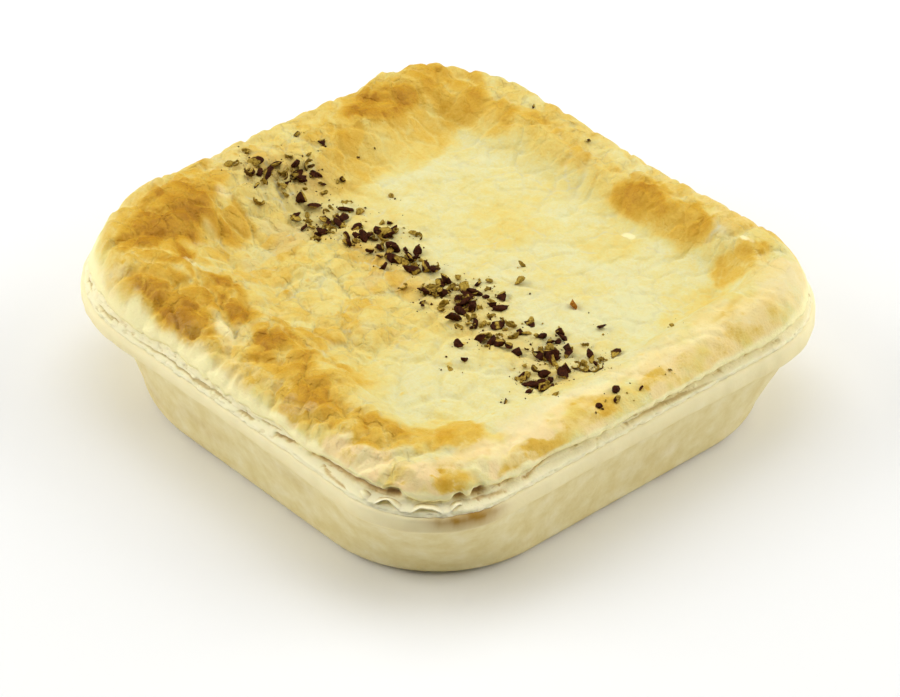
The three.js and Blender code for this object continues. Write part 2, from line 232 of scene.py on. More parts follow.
@dataclass(frozen=True)
class Outline:
    """Rectangle with round corners, walked from corner middle to corner middle.

    Attributes:
        half_x, half_y: Half of its size along X and Y, in millimetres.
        radii: Corner radii in the order they are walked, from -X -Y anticlockwise.
    """

    half_x: float
    half_y: float
    radii: tuple[float, float, float, float]

    def at(self, walk: Array) -> tuple[Array, Array]:
        """Find places on the outline.

        Args:
            walk: How far round, from 0 to 4.

        Returns:
            Points and their outward directions.
        """
        ahead = np.array([[1, 0], [0, 1], [-1, 0], [0, -1]], float)
        outward = np.array([[0, -1], [1, 0], [0, 1], [-1, 0]], float)
        radii = np.array(self.radii)
        corner = np.floor(walk).astype(int) % 4
        following = (corner + 1) % 4
        half = np.where(corner % 2 == 0, self.half_x, self.half_y)
        reach = np.where(corner % 2 == 0, self.half_y, self.half_x)
        before = half - radii[corner] * (1 - math.pi / 4)
        after = half - radii[following] * (1 - math.pi / 4)
        travelled = (walk - np.floor(walk)) * (before + after) - before
        radius = np.where(travelled < 0, radii[corner], radii[following])
        straight = half - radius
        bend = np.sign(travelled) * np.maximum(0, np.abs(travelled) - straight) / radius
        along = np.clip(travelled, -straight, straight) + radius * np.sin(bend)
        out = reach - radius + radius * np.cos(bend)
        points = ahead[corner] * along[:, None] + outward[corner] * out[:, None]
        directions = ahead[corner] * np.sin(bend)[:, None] + outward[corner] * np.cos(bend)[:, None]
        return points, directions

    def inside_by(self, x: Array, y: Array) -> Array:
        """Measure how far places are inside the outline.

        Args:
            x, y: Places along X and Y.

        Returns:
            Distances, which are negative outside.
        """
        corner = np.where(y < 0, np.where(x < 0, 0, 1), np.where(x < 0, 3, 2))
        radius = np.array(self.radii)[corner]
        dx, dy = np.abs(x) - (self.half_x - radius), np.abs(y) - (self.half_y - radius)
        outer = np.hypot(np.maximum(dx, 0), np.maximum(dy, 0))
        return radius - outer - np.minimum(np.maximum(dx, dy), 0)


FLANGE = Outline(54, 52, (27, 19.5, 21.5, 24))
FOOT = Outline(49, 46.7, (34, 24, 26, 24))
SEAM_Z = 19.6


def at_station(values: Stations, x: Array, y: Array) -> Array:
    """Blend values round the pie that are given every 45 degrees from +X.

    Args:
        values: Eight values.
        x, y: Places along X and Y.

    Returns:
        Blended values.
    """
    at = (np.arctan2(y / FLANGE.half_y, x / FLANGE.half_x) / (math.pi / 4) + 8) % 8
    first = np.floor(at).astype(int) % 8
    share = (1 - np.cos(math.pi * (at - np.floor(at)))) / 2
    given = np.array(values, float)
    return given[first] * (1 - share) + given[(first + 1) % 8] * share


@dataclass(frozen=True)
class Spot:
    """An oval place on the lid: a blister or a toasted patch.

    Attributes:
        x, y: Its middle, in millimetres.
        wide, deep: Half-widths along X and Y.
        gain: Rise of a blister in millimetres, or depth of toasting from 0 to 1.
    """

    x: float
    y: float
    wide: float
    deep: float
    gain: float

    def away(self, x: Array, y: Array) -> Array:
        """Squared distance from the middle, in half-widths."""
        return ((x - self.x) / self.wide) ** 2 + ((y - self.y) / self.deep) ** 2


BLISTERS = (
    Spot(-40, -25, 11, 10, 1.1), Spot(-28, -40, 10, 6, 0.9), Spot(-16, -31, 7, 6, 0.8),
    Spot(-17, -15, 9, 8, 1.2), Spot(1, -22, 10, 8, 1.4), Spot(0, -36, 10, 6, 0.9),
    Spot(14, -38, 10, 7, 1.0), Spot(27, -41, 9, 6, 0.7), Spot(39, -31, 8, 6, 0.6),
    Spot(-46, 33, 8, 12, 1.5), Spot(-36, 20, 8, 9, 0.7), Spot(8, 40, 11, 6, 0.7), Spot(2, 21, 10, 7, 0.5),
    Spot(-16, 8, 8, 6, 0.4),
)

# Where the oven toasted the lid: the high blisters and the crest of the rim.
TOASTED = (
    Spot(-42, 40, 10, 5, 0.34), Spot(-45, 36, 6, 4.5, 0.18), Spot(-37, 35, 7, 5, 0.36),
    Spot(-43.5, 25, 6, 13, 0.26), Spot(-42, 22, 4, 9, 0.46), Spot(-34, 20, 7, 17, 0.28),
    Spot(-48, 2, 5, 7, 0.12), Spot(-36, 5, 8, 11, 0.18), Spot(-25, 2, 10, 7, 0.14),
    Spot(-43, -19, 6, 7, 0.44), Spot(-40, -25, 6.5, 5.5, 0.46), Spot(-37.5, -32, 7, 8.5, 0.48),
    Spot(-30, -37, 8, 5, 0.50), Spot(-34, -21, 6, 5, 0.36), Spot(-20, -44, 11, 4.6, 0.48),
    Spot(-13.5, -45, 6, 4.2, 0.40), Spot(-15, -37, 10, 4.2, 0.46), Spot(5, -39.5, 8, 6.2, 0.46),
    Spot(-9, -36, 15, 5, 0.2), Spot(-14, -16, 21, 17, 0.13), Spot(-27, -34, 4, 3, 0.30),
    Spot(2, -33, 5, 3.4, 0.14), Spot(14, -37, 8.5, 7, 0.34), Spot(10, -45.5, 10, 4, 0.26),
    Spot(23, -43.5, 10, 4.0, 0.32), Spot(-22, -47.5, 7, 2.6, 0.28), Spot(-15, -47.5, 5, 2.6, 0.28),
    Spot(14, -48, 12, 2.0, 0.16), Spot(-34, -41, 4, 3, 0.42), Spot(43, 1, 3.4, 15, -0.16),
    Spot(32, -41, 6, 4, 0.32), Spot(9, -31, 14, 4.5, 0.18), Spot(40, -31, 5, 5, 0.46),
    Spot(34, -31, 4, 5, 0.18), Spot(37, -36, 5.5, 4.5, 0.32), Spot(45.5, -31, 2.4, 7, 0.26),
    Spot(46.8, -39.6, 4.6, 3.6, 0.42), Spot(41, -45.9, 4.4, 2.4, 0.28), Spot(50.6, -24.5, 3.2, 9, 0.56),
    Spot(48.4, -12, 3.8, 8, 0.34), Spot(49.6, -3, 3.4, 8, 0.12), Spot(50.4, 12, 2.8, 13, 0.29),
    Spot(48.4, 28, 5, 8, 0.2), Spot(-29, 37, 7, 4.5, 0.30), Spot(-14, 40, 12, 4.5, 0.22),
    Spot(11, 39.5, 18, 5, 0.30), Spot(9.5, 38.5, 7, 3.6, 0.48), Spot(20, 39.5, 7, 3.6, 0.26),
    Spot(27, 36, 6, 4, 0.16), Spot(36, 41.5, 5, 3, 0.36), Spot(36, 37, 6, 4.5, 0.40),
    Spot(37, 26, 4, 10, 0.20), Spot(-4, 17, 8, 9, 0.12), Spot(12, 28, 8, 6, 0.12),
)

# Where the top leaf came away and the paler one under it shows.
WORN = (
    Spot(-24.5, -35.5, 1.8, 1.1, 0.50), Spot(-7.5, -42.5, 3.0, 1.9, 0.40),
    Spot(-6.5, -31.5, 1.6, 2.6, 0.36), Spot(-7, -17.5, 3.2, 2.6, 0.14),
    Spot(-37.5, -17.5, 1.8, 1.6, 0.32), Spot(-30.5, -28.5, 0.7, 2.4, 0.30),
    Spot(13.9, 32.6, 0.9, 0.8, 0.9), Spot(33.5, 42.6, 2.4, 0.7, 0.7), Spot(45, -8, 2.6, 18, 0.24),
    Spot(46, -30, 2.0, 8, 0.16), Spot(46, -46, 5, 3, 0.12), Spot(46, 20, 3, 16, 0.22),
)


@dataclass(frozen=True)
class Tear:
    """A line along which the top leaf split as it rose.

    Attributes:
        line: Places along it, in millimetres.
        width: Half-width of the bare strip.
        depth: Depth of the split, or height of a lifted flake when it is negative.
        pale: How much paler the strip is, from 0 to 1.
    """

    line: tuple[tuple[float, float], ...]
    width: float
    depth: float
    pale: float

    def near(self, x: Array, y: Array) -> Array:
        """Share from 1 on the line to 0 at its half-width.

        Args:
            x, y: Places along X and Y.

        Returns:
            Shares from 0 to 1.
        """
        away = np.full_like(x, np.inf)
        for (ax, ay), (bx, by) in zip(self.line, self.line[1:]):
            dx, dy = bx - ax, by - ay
            at = np.clip(((x - ax) * dx + (y - ay) * dy) / (dx * dx + dy * dy), 0, 1)
            away = np.minimum(away, np.hypot(x - ax - at * dx, y - ay - at * dy))
        return 1 - ease(0, self.width, away)


TEARS = (
    Tear(((-36.2, -43.3), (-34.3, -40.8), (-31.9, -39.4), (-29.2, -37.6), (-24.7, -35.4)), 0.6, 0.35, 0.9),
    Tear(((-24.7, -35.4), (-20, -37), (-15, -38.5), (-12.3, -39.1), (-8, -41), (-3.5, -43.5)), 0.9, 0.7, 0.8),
    Tear(((-20, -30), (-17, -33), (-14, -35.5), (-12.3, -39.1)), 0.55, 0.35, 0.75),
    Tear(((-31, -24), (-30.5, -28), (-29, -31), (-26, -34)), 0.5, 0.25, 0.7),
    Tear(((-40, -17), (-37.5, -18), (-35, -19.5)), 0.8, 0.2, 0.6),
    Tear(((12, -47.5), (18, -46.6), (24, -46.2), (29, -45.5)), 0.7, 0.5, 0.5),
    Tear(((38, -38.5), (43, -36.5), (46, -30), (46.5, -24)), 1.0, 0.25, 0.6),
    Tear(((10.5, -30), (10.5, -35), (9, -39)), 0.8, 0.25, 0.5),
    Tear(((34, -29), (37, -33), (40, -37)), 0.6, 0.15, 0.4),
    Tear(((-11, -42), (-9.5, -45), (-10, -47.5)), 0.9, 0.3, 0.5),
    Tear(((1, -30), (-2, -33), (-3, -38)), 0.7, 0.2, 0.4),
    Tear(((31.4, 40.5), (31.8, 42.8), (35.5, 43.2)), 0.8, -0.35, 0.9),
    Tear(((40, 31), (44, 30), (48, 31)), 0.7, 0.2, 0.5),
    Tear(((-37, 30), (-33, 33), (-27, 33.5)), 0.8, 0.2, 0.5),
    Tear(((-47, 17), (-44, 12), (-40, 9)), 0.8, 0.2, 0.5),
    Tear(((-17.5, -45.5), (-18.5, -47.3), (-21.3, -50)), 0.7, 0.5, 0.0),
    Tear(((-9.5, -46), (-10.9, -47.8), (-13.3, -50.2)), 0.7, 0.5, 0.1),
    Tear(((-4, -42.5), (-2.6, -45), (-2.2, -47.8), (-3.5, -50)), 0.8, 0.4, 0.1),
    Tear(((-29.5, -46), (-31.5, -48)), 0.7, 0.4, 0.0),
    Tear(((5, -45.5), (4, -48), (4.5, -50)), 0.7, 0.35, 0.0),
)


@dataclass(frozen=True)
class Drift:
    """A place where pepper fell thick.

    Attributes:
        x, y: Its middle, in millimetres.
        spread_x, spread_y: Spread along X and Y.
        pieces: Number of pieces.
    """

    x: float
    y: float
    spread_x: float
    spread_y: float
    pieces: int


DRIFTS = (
    Drift(-40, -9.5, 2.6, 1.8, 8), Drift(-35, -2.5, 2.6, 2.8, 20), Drift(-26, -4.5, 3.4, 3.6, 22),
    Drift(-15, -2, 3, 3, 20), Drift(-5, -2.5, 2.8, 1.8, 14), Drift(4, -4, 2.6, 2.6, 18),
    Drift(10, -1.5, 2.6, 2.6, 20), Drift(16, -5.5, 2.6, 2.4, 11), Drift(22, -4, 2, 4, 10),
    Drift(29, -1.5, 2.4, 2.8, 18), Drift(35.5, -6.5, 2, 3.2, 16), Drift(37, 1.5, 1.3, 1.8, 8),
)


@dataclass(frozen=True)
class Noise:
    """A pattern that wanders over the lid.

    Attributes:
        pitch: Width of its coarsest lumps, in millimetres.
        seed: Picks the pattern.
        octaves: Number of layers of detail.
        pitch_y: Width along Y, where it isn't the same.
    """

    pitch: float
    seed: int
    octaves: int = 3
    pitch_y: float | None = None

    def at(self, x: Array, y: Array) -> Array:
        """Values between 0 and 1, about one half."""
        return field_noise(x / self.pitch, y / (self.pitch_y or self.pitch), 1.0, self.seed, self.octaves)

    def swing(self, x: Array, y: Array) -> Array:
        """The same values about zero."""
        return self.at(x, y) - 0.5


@dataclass(frozen=True)
class Warp:
    """A wandering shift of places, through which what is drawn looks torn.

    Attributes:
        reach: Largest shift, in millimetres.
        pitch: Width of the wander.
        seed: Picks the wander along X.
        apart: What is added to the seed for the wander along Y.
    """

    reach: float
    pitch: float
    seed: int
    apart: int = 50

    def at(self, x: Array, y: Array) -> tuple[Array, Array]:
        """Shifted places."""
        shift_x, shift_y = (Noise(self.pitch, self.seed + more).swing(x, y) for more in (0, self.apart))
        return x + 2 * self.reach * shift_x, y + 2 * self.reach * shift_y


@dataclass(frozen=True)
class Skin:
    """A baked layer that broke into torn cells: plates, or the scales within them.

    Attributes:
        pitch: Mean width of a cell, in millimetres.
        seeds: Seeds of the cells.
        warp: Wander of their edges.
        step: Height of the layer's relief.
        dome: Width over which a cell rises from its edges.
        sunk: Share of the height by which the layer is lowered.
        spread: Share by which one cell differs from another.
        swell: Share by which a cell rises.
    """

    pitch: float
    seeds: tuple[int, int]
    warp: Warp
    step: float
    dome: float
    sunk: float
    spread: float = 1.0
    swell: float = 1.0

    def find(self, x: Array, y: Array) -> tuple[Array, Array]:
        """Distance to the edge of a cell, and the cell's own value from 0 to 1."""
        _, gap, value = cells(*self.warp.at(x, y), self.pitch, self.seeds)
        return gap, value

    def relief(self, x: Array, y: Array) -> Array:
        """Height of the layer's steps and domes."""
        gap, value = self.find(x, y)
        return self.step * (self.spread * (value - 0.5) + self.swell * ease(0, self.dome, gap) - self.sunk)


@dataclass(frozen=True)
class Crease:
    """Broken lines between the cells of a layer of skin.

    Attributes:
        width: Half-width of a line's core and of the whole line, in millimetres.
        noise: Pattern that breaks the lines up.
        shown: Where in that pattern they start to show, and show fully.
        tone: How strong they are.
    """

    width: Span
    noise: Noise
    shown: Span
    tone: float

    def at(self, skin: Skin, x: Array, y: Array) -> Array:
        """Strength of the lines between a skin's cells."""
        gap, _ = skin.find(x, y)
        return self.tone * (1 - ease(*self.width, gap)) * ease(*self.shown, self.noise.at(x, y))


@dataclass(frozen=True)
class LidForm:
    """Surface of the lid: rim, sunken middle, blisters, puffs, plates, scales and flaky border.

    Sizes are in millimetres. A pair is where something starts, and where it is full or ends.
    Methods take places along X and Y, and give one value for each place.
    """

    # Heights of edge, middle and crest, and the slopes between them. Eight values go round the pie.
    edge_z: float = 22.5
    floor_z: float = 22.1
    rise_width: float = 5
    droop: float = 1.6
    least_slope: float = 0.5
    crest_z: Stations = (24.5, 27.2, 25.6, 26.6, 27.9, 28.4, 25.4, 25.0)
    inner_start: Stations = (8, 8.5, 9, 10, 11, 12, 13, 10)
    inner_end: Stations = (15, 15.5, 17, 20, 24, 25, 25, 18)
    # Insets of the lowest and the top leaf, and widths of the pale border and of the bare leaves.
    leaf_foot: Stations = (0.9, 0.9, 1.0, 1.0, 1.0, 0.8, 0.7, 0.8)
    leaf_top: Stations = (1.3, 1.6, 1.9, 1.9, 1.9, 2.1, 2.5, 2.9)
    border: Stations = (0.4, 1.4, 3.0, 2.6, 2.8, 3.2, 2.2, 0.7)
    flake_width: Stations = (0.5, 0.8, 0.6, 0.6, 0.9, 1.2, 1.2, 0.4)
    # Bounds of the smooth middle, of the even rim at +X and of the level front.
    calm_y: Span = (-10, 0)
    even_x: Span = (38, 46)
    front_x: Span = (6, 20)
    front_y: Span = (-2, -16)
    front_end: Span = (-42, -30)
    # Shares of the relief that those three lose, and where relief starts inside the edge.
    quiet: Triple = (0.45, 0.6, 0.65)
    settle_from: float = 0.8
    settle_past: float = 1.5
    # Puffs between the blisters, and shares of them that smooth middle and even rim lose.
    puff_pitch: float = 8
    puff_seeds: tuple[int, int] = (1, 2)
    puff_rise: float = 0.6
    puff_crease: float = 2.4
    puff_quiet: Span = (0.7, 0.65)
    # Plates of the top leaf, and the scales within them, which wear off at the border.
    plates: Skin = Skin(11.5, (3, 4), Warp(2.0, 5.0, 11), step=0.5, swell=0.5, dome=2.2, sunk=0.4)
    scales: Skin = Skin(5.2, (21, 22), Warp(1.1, 3.0, 17), step=0.46, spread=0.7, dome=0.9, sunk=0.8)
    scale_worn: float = 0.7
    # Lobes that plates form along the edge.
    border_fade: Span = (6, 10)
    lobe_rise: Stations = (0.1, 0.2, 0.4, 0.4, 0.5, 0.7, 0.8, 0.3)
    lobe_from: Span = (1.5, 5)
    lobe_dome: float = 2.4
    lobe_sunk: float = 0.6
    # Small puffs.
    bubble: Noise = Noise(6.5, 35)
    bubble_warp: Warp = Warp(1.4, 4.0, 31)
    bubble_crease: float = 0.17
    bubble_rise: float = 0.08
    bubble_sunk: float = 0.7
    # Grain, of which calm parts keep the least.
    grain: Noise = Noise(1.4, 41, 2)
    grain_rise: float = 0.2
    grain_least: float = 0.15
    # Rough leaves along the edge.
    flaky: Stations = (0.35, 0.3, 0.2, 0.2, 0.3, 0.35, 0.4, 1.0)
    flaky_grain: Noise = Noise(1.9, 43, 2)
    flaky_rise: float = 1.1
    flaky_fade: Span = (4, 11)
    # Lines along the even rim.
    streak: Noise = Noise(1.7, 47, 2, pitch_y=9.0)
    streak_x: Span = (35, 46)
    streak_rise: float = 0.2
    # Wander of the tears.
    tear_warp: Warp = Warp(1.3, 3.2, 13)
    # Pits in the flaky border. A share of their places stays whole.
    pit_pitch: float = 1.9
    pit_seeds: tuple[int, int] = (7, 8)
    pit_warp: Warp = Warp(0.8, 1.6, 19)
    pit_size: Span = (0.15, 0.75)
    pit_leaf: Span = (0.5, 1.5)
    pit_fade: Span = (0.6, 1.4)
    pit_chance: float = 0.72
    pit_depth: float = 0.4

    def inside_leaf(self, x: Array, y: Array) -> Array:
        """How far places are inside the edge of the top leaf."""
        return FLANGE.inside_by(x, y) - at_station(self.leaf_top, x, y)

    def sinking(self, x: Array, y: Array, inset: Array) -> Array:
        """Share from 0 on the rim to 1 in the sunken middle."""
        return ease(at_station(self.inner_start, x, y), at_station(self.inner_end, x, y), inset)

    def rim(self, x: Array, y: Array) -> Array:
        """Height of the rim and the sunken middle, without blisters.

        Args:
            x, y: Places along X and Y.

        Returns:
            Heights in millimetres.
        """
        slope = at_station(self.leaf_top, x, y) - at_station(self.leaf_foot, x, y)
        steep = np.minimum((self.edge_z - SEAM_Z) / np.maximum(slope, self.least_slope), self.droop)
        past = self.inside_leaf(x, y)
        inset = np.maximum(0, past)
        crest = at_station(self.crest_z, x, y)
        rise = 1 - (1 - np.minimum(inset / self.rise_width, 1)) ** 2
        drop = steep * np.minimum(past, 0) - (crest - self.floor_z) * self.sinking(x, y, inset)
        return self.edge_z + (crest - self.edge_z) * rise + drop

    def calm(self, x: Array, y: Array) -> Array:
        """Share from 0 on the puffy parts to 1 on the smooth middle."""
        return ease(*self.calm_y, y) * self.sinking(x, y, FLANGE.inside_by(x, y))

    def even(self, x: Array) -> Array:
        """Share from 0 to 1 of the even rim at +X."""
        return ease(*self.even_x, x)

    def level_front(self, x: Array, y: Array) -> Array:
        """Share from 0 to 1 of the pale smooth part between the pepper and the front corner."""
        return ease(*self.front_y, y) * ease(*self.front_x, x) * ease(*self.front_end, y)

    def swelling(self, x: Array, y: Array) -> Array:
        """Height of the blisters and of the puffs between them.

        Args:
            x, y: Places along X and Y.

        Returns:
            Heights in millimetres.
        """
        height = np.zeros_like(x)
        for blister in BLISTERS:
            away = blister.away(x, y)
            height += blister.gain * np.maximum(0, 1 - away) ** 2 * (1 + 2 * np.minimum(away, 1))
        _, gap, _ = cells(x, y, self.puff_pitch, self.puff_seeds)
        in_middle, in_rim = self.puff_quiet
        kept = (1 - in_middle * self.calm(x, y)) * (1 - in_rim * self.even(x))
        return height + self.puff_rise * kept * ease(0, self.puff_crease, gap)

    def smooth(self, x: Array, y: Array) -> Array:
        """Height of the lid as the solid has it."""
        return self.rim(x, y) + ease(0, self.rise_width, FLANGE.inside_by(x, y)) * self.swelling(x, y)

    def bubbles(self, x: Array, y: Array) -> Array:
        """Share from 0 in the creases between small puffs to 1 on top of them."""
        return ease(0, self.bubble_crease, np.abs(self.bubble.swing(*self.bubble_warp.at(x, y))))

    def streaks(self, x: Array, y: Array) -> Array:
        """Wander between -0.5 and 0.5 in lines along the even rim at +X."""
        return self.streak.swing(x, y) * ease(*self.streak_x, x)

    def pits(self, x: Array, y: Array) -> Array:
        """Share from 0 to 1 in the small holes of the flaky border.

        Args:
            x, y: Places along X and Y.

        Returns:
            Shares from 0 to 1.
        """
        pit, _, chance = cells(*self.pit_warp.at(x, y), self.pit_pitch, self.pit_seeds)
        reach = ease(*self.pit_leaf, at_station(self.flake_width, x, y))
        near = 1 - ease(*self.pit_fade, self.inside_leaf(x, y) / at_station(self.border, x, y))
        return (1 - ease(*self.pit_size, pit)) * (chance > self.pit_chance) * near * reach

    def height(self, x: Array, y: Array) -> Array:
        """Height of the baked surface with all its relief.

        Args:
            x, y: Places along X and Y.

        Returns:
            Heights in millimetres.
        """
        inside = FLANGE.inside_by(x, y)
        loud = ease(self.settle_from, self.rise_width + self.settle_past, inside)
        for lost, place in zip(self.quiet, (self.calm(x, y), self.even(x), self.level_front(x, y))):
            loud = loud * (1 - lost * place)
        border = 1 - ease(*self.border_fade, inside)
        lobes = at_station(self.lobe_rise, x, y) * border * ease(*self.lobe_from, inside)
        gap, _ = self.plates.find(x, y)
        rough = at_station(self.flaky, x, y) * (1 - ease(*self.flaky_fade, inside))
        z = self.smooth(x, y)
        z = z + loud * self.plates.relief(x, y)
        z = z + lobes * (ease(0, self.lobe_dome, gap) - self.lobe_sunk)
        z = z + loud * (1 - self.scale_worn * border) * self.scales.relief(x, y)
        z = z + loud * self.bubble_rise * (self.bubbles(x, y) - self.bubble_sunk)
        z = z + at_least(self.grain_least, loud) * self.grain_rise * self.grain.swing(x, y)
        z = z + rough * self.flaky_rise * self.flaky_grain.swing(x, y)
        z = z + self.streak_rise * self.streaks(x, y)
        u, v = self.tear_warp.at(x, y)
        for tear in TEARS:
            z = z - tear.depth * tear.near(u, v)
        return z - self.pit_depth * self.pits(x, y)


LID_FORM = LidForm()


@dataclass(frozen=True)
class LidBake:
    """How the oven left the lid: toasted, bare, peach and cracked places, and grey that is partly painted
    shade, each from 0 to 1.

    Sizes are in millimetres. A pair is where something starts, and where it is full or ends.
    Methods take places along X and Y, and give one value for each place.
    """

    form: LidForm = LID_FORM
    # Torn edges of bare leaves and pale border, and the toasting that the border loses.
    leaf_tear: Noise = Noise(3.4, 21)
    leaf_ragged: float = 1.6
    leaf_whole: float = 0.1
    border_tear: Noise = Noise(6.0, 25)
    border_ragged: float = 0.9
    border_out: float = 0.1
    border_pale: float = 0.75
    # Warm tint of thin leaves.
    blush: Stations = (0.65, 0.5, 0.1, 0.0, 0.1, 0.4, 0.45, 1.0)
    blush_fade: Span = (5, 15)
    blush_patch: Noise = Noise(4.0, 49)
    blush_shown: Span = (0.3, 0.6)
    # Golden lobes along the border: how far, how toasted, where and how uneven.
    halo: Stations = (0.0, 0.1, 0.1, 0.2, 0.6, 1.0, 1.0, 0.1)
    halo_toast: float = 0.42
    halo_from: Span = (1.2, 5)
    halo_fade: Span = (7, 11)
    halo_plate: float = 0.3
    halo_edge: float = 0.5
    # Edges of the toasted patches in half-widths, which are softer along the border.
    brown_warp: Warp = Warp(1.8, 5.0, 71)
    brown_edge: Span = (0.64, 1.08)
    brown_blur: Span = (0.3, 0.35)
    brown_soft: Span = (7, 12)
    # Least toasting, and that of the smooth middle with its patches.
    raw: float = 0.04
    middle_gold: float = 0.05
    middle_y: Span = (-6, 22)
    middle_patch: Noise = Noise(7.0, 85, 4)
    middle_swing: float = 0.32
    # Gold of the puffy parts: what puffs, plates and scales add, and what front and rim lose.
    gold: float = 0.16
    gold_bubble: float = 0.08
    gold_plate: float = 0.14
    gold_scale: float = 0.24
    gold_lost: Span = (0.85, 0.45)
    # How scales and plates decide where heat caught, and the tone left elsewhere.
    caught_scale: float = 0.22
    caught_plate: float = 0.16
    caught_at: Span = (0.05, 0.35)
    caught_least: float = 0.6
    # Tone at a plate's rounded edge, and what plate and scale add to the tone.
    dome: float = 2.8
    dome_least: float = 0.86
    tone: Triple = (0.84, 0.2, 0.14)
    # Mottling of pale places, and what heat adds to it.
    mottle: Noise = Noise(3.0, 81)
    mottle_swing: Span = (0.08, 0.30)
    # Small dark dots. A share of their places stays empty.
    dot_pitch: float = 5.0
    dot_seeds: tuple[int, int] = (15, 16)
    dot_size: Span = (0.1, 0.65)
    dot_chance: float = 0.8
    dot_tone: float = 0.3
    # Pale lines between scales, lines along the even rim, and dust and oil round the drifts.
    vein: Crease = Crease((0.05, 0.55), Noise(5.0, 95, 2), (0.46, 0.6), 0.5)
    vein_pale: float = 0.62
    streak_tone: float = 0.3
    dust_reach: Span = (5.5, 4.5)
    dust_tone: float = 0.14
    # Limit of the toasting.
    darkest: float = 1.1
    # Flakes that fell off near the edge, and how bare leaves, border and flakes are.
    fleck: Noise = Noise(2.4, 57, 2)
    fleck_shown: Span = (0.52, 0.68)
    fleck_fade: Span = (5, 12)
    bare_leaf: float = 0.2
    bare_border: float = 0.62
    bare_fleck: float = 0.45
    # Worn places, and the lines in them.
    worn_warp: Warp = Warp(1.5, 3.6, 13)
    worn_streak: Noise = Noise(1.5, 99, 2, pitch_y=4.5)
    worn_tone: Span = (0.4, 1.6)
    # Cracks, and shares of them that smooth and even parts lose.
    craze_from: float = 2.5
    craze_smooth: float = 0.8
    craze_even: float = 0.7
    # Grey of thin dough, and what hides it.
    grey_thin: Noise = Noise(6.0, 97)
    grey_thin_shown: Span = (0.56, 0.7)
    grey_from: Span = (7, 11)
    grey_brown: Span = (0.1, 0.35)
    grey_front: float = 0.7
    # Painted shade as grey lines in the creases between plates and between scales, grey of dust and thin
    # dough, and painted shade in pits.
    crease_shades: tuple[Crease, Crease] = (
        Crease((0.05, 0.45), Noise(4.0, 93, 2), (0.52, 0.64), 0.8),
        Crease((0.05, 0.6), Noise(6.0, 94, 2), (0.45, 0.6), 0.4),
    )
    grey_and_shade_tones: Triple = (0.2, 0.3, 0.5)

    def flaking(self, x: Array, y: Array) -> Array:
        """Share from 1 on the bare leaves along the edge to 0 on the baked skin.

        Args:
            x, y: Places along X and Y.

        Returns:
            Shares from 0 to 1.
        """
        width = at_station(self.form.flake_width, x, y)
        torn = self.leaf_tear.swing(x, y) * self.leaf_ragged * width
        return 1 - ease(self.leaf_whole, width, self.form.inside_leaf(x, y) + torn)

    def paling(self, x: Array, y: Array) -> Array:
        """Share from 1 at the edge, which toasted least, to 0 inside the border.

        Args:
            x, y: Places along X and Y.

        Returns:
            Shares from 0 to 1.
        """
        width = at_station(self.form.border, x, y)
        torn = self.border_tear.swing(x, y) * self.border_ragged * width
        return 1 - ease(-self.border_out * width, width, self.form.inside_leaf(x, y) + torn)

    def peach(self, x: Array, y: Array) -> Array:
        """Warm tint of the thin leaves on the rim, mostly at the front."""
        near = 1 - ease(*self.blush_fade, FLANGE.inside_by(x, y))
        return at_station(self.blush, x, y) * near * ease(*self.blush_shown, self.blush_patch.at(x, y))

    def browning(self, x: Array, y: Array) -> Array:
        """How much oven heat reached each place, before plates and creases break it up.

        Args:
            x, y: Places along X and Y.

        Returns:
            Shares from 0 to 1.
        """
        u, v = self.brown_warp.at(x, y)
        soft = at_station(self.halo, x, y) * (1 - ease(*self.brown_soft, FLANGE.inside_by(x, y)))
        start = self.brown_edge[0] - self.brown_blur[0] * soft
        end = self.brown_edge[1] + self.brown_blur[1] * soft
        spared = np.ones_like(x)
        for spot in TOASTED:
            spared *= 1 - spot.gain * (1 - ease(start, end, np.sqrt(spot.away(u, v))))
        return 1 - spared

    def veins(self, x: Array, y: Array) -> Array:
        """Pale lines along which the top leaf split.

        Args:
            x, y: Places along X and Y.

        Returns:
            Shares from 0 to 1.
        """
        u, v = self.form.tear_warp.at(x, y)
        lines = np.zeros_like(x)
        for tear in TEARS:
            lines = np.maximum(lines, tear.pale * tear.near(u, v))
        return np.maximum(lines, self.vein.at(self.form.scales, x, y))

    def gilding(self, x: Array, y: Array) -> Array:
        """Faint gold of the puffy parts, which differs from plate to plate and scale to scale.

        Args:
            x, y: Places along X and Y.

        Returns:
            Levels of toasting.
        """
        _, value = self.form.plates.find(x, y)
        _, small = self.form.scales.find(x, y)
        gold = self.gold + self.gold_bubble * self.form.bubbles(x, y)
        gold = gold + self.gold_plate * (value - 0.5) + self.gold_scale * (small - 0.5)
        in_front, in_rim = self.gold_lost
        kept = (1 - in_front * self.form.level_front(x, y)) * (1 - in_rim * self.form.even(x))
        return (1 - self.form.calm(x, y)) * kept * gold

    def ground(self, x: Array, y: Array) -> Array:
        """Toasting of the lid between its patches: the smooth middle, and the gold of the puffy parts.

        Args:
            x, y: Places along X and Y.

        Returns:
            Levels of toasting.
        """
        middle = self.middle_gold * ease(*self.middle_y, y)
        middle = middle + self.middle_patch.swing(x, y) * self.middle_swing
        return self.raw + self.form.calm(x, y) * middle + self.gilding(x, y)

    def dots(self, x: Array, y: Array) -> Array:
        """Small dark dots on the puffy parts.

        Args:
            x, y: Places along X and Y.

        Returns:
            Levels of toasting.
        """
        away, _, chance = cells(x, y, self.dot_pitch, self.dot_seeds)
        shown = (1 - ease(*self.dot_size, away)) * (chance > self.dot_chance)
        return self.dot_tone * shown * (1 - self.form.calm(x, y))

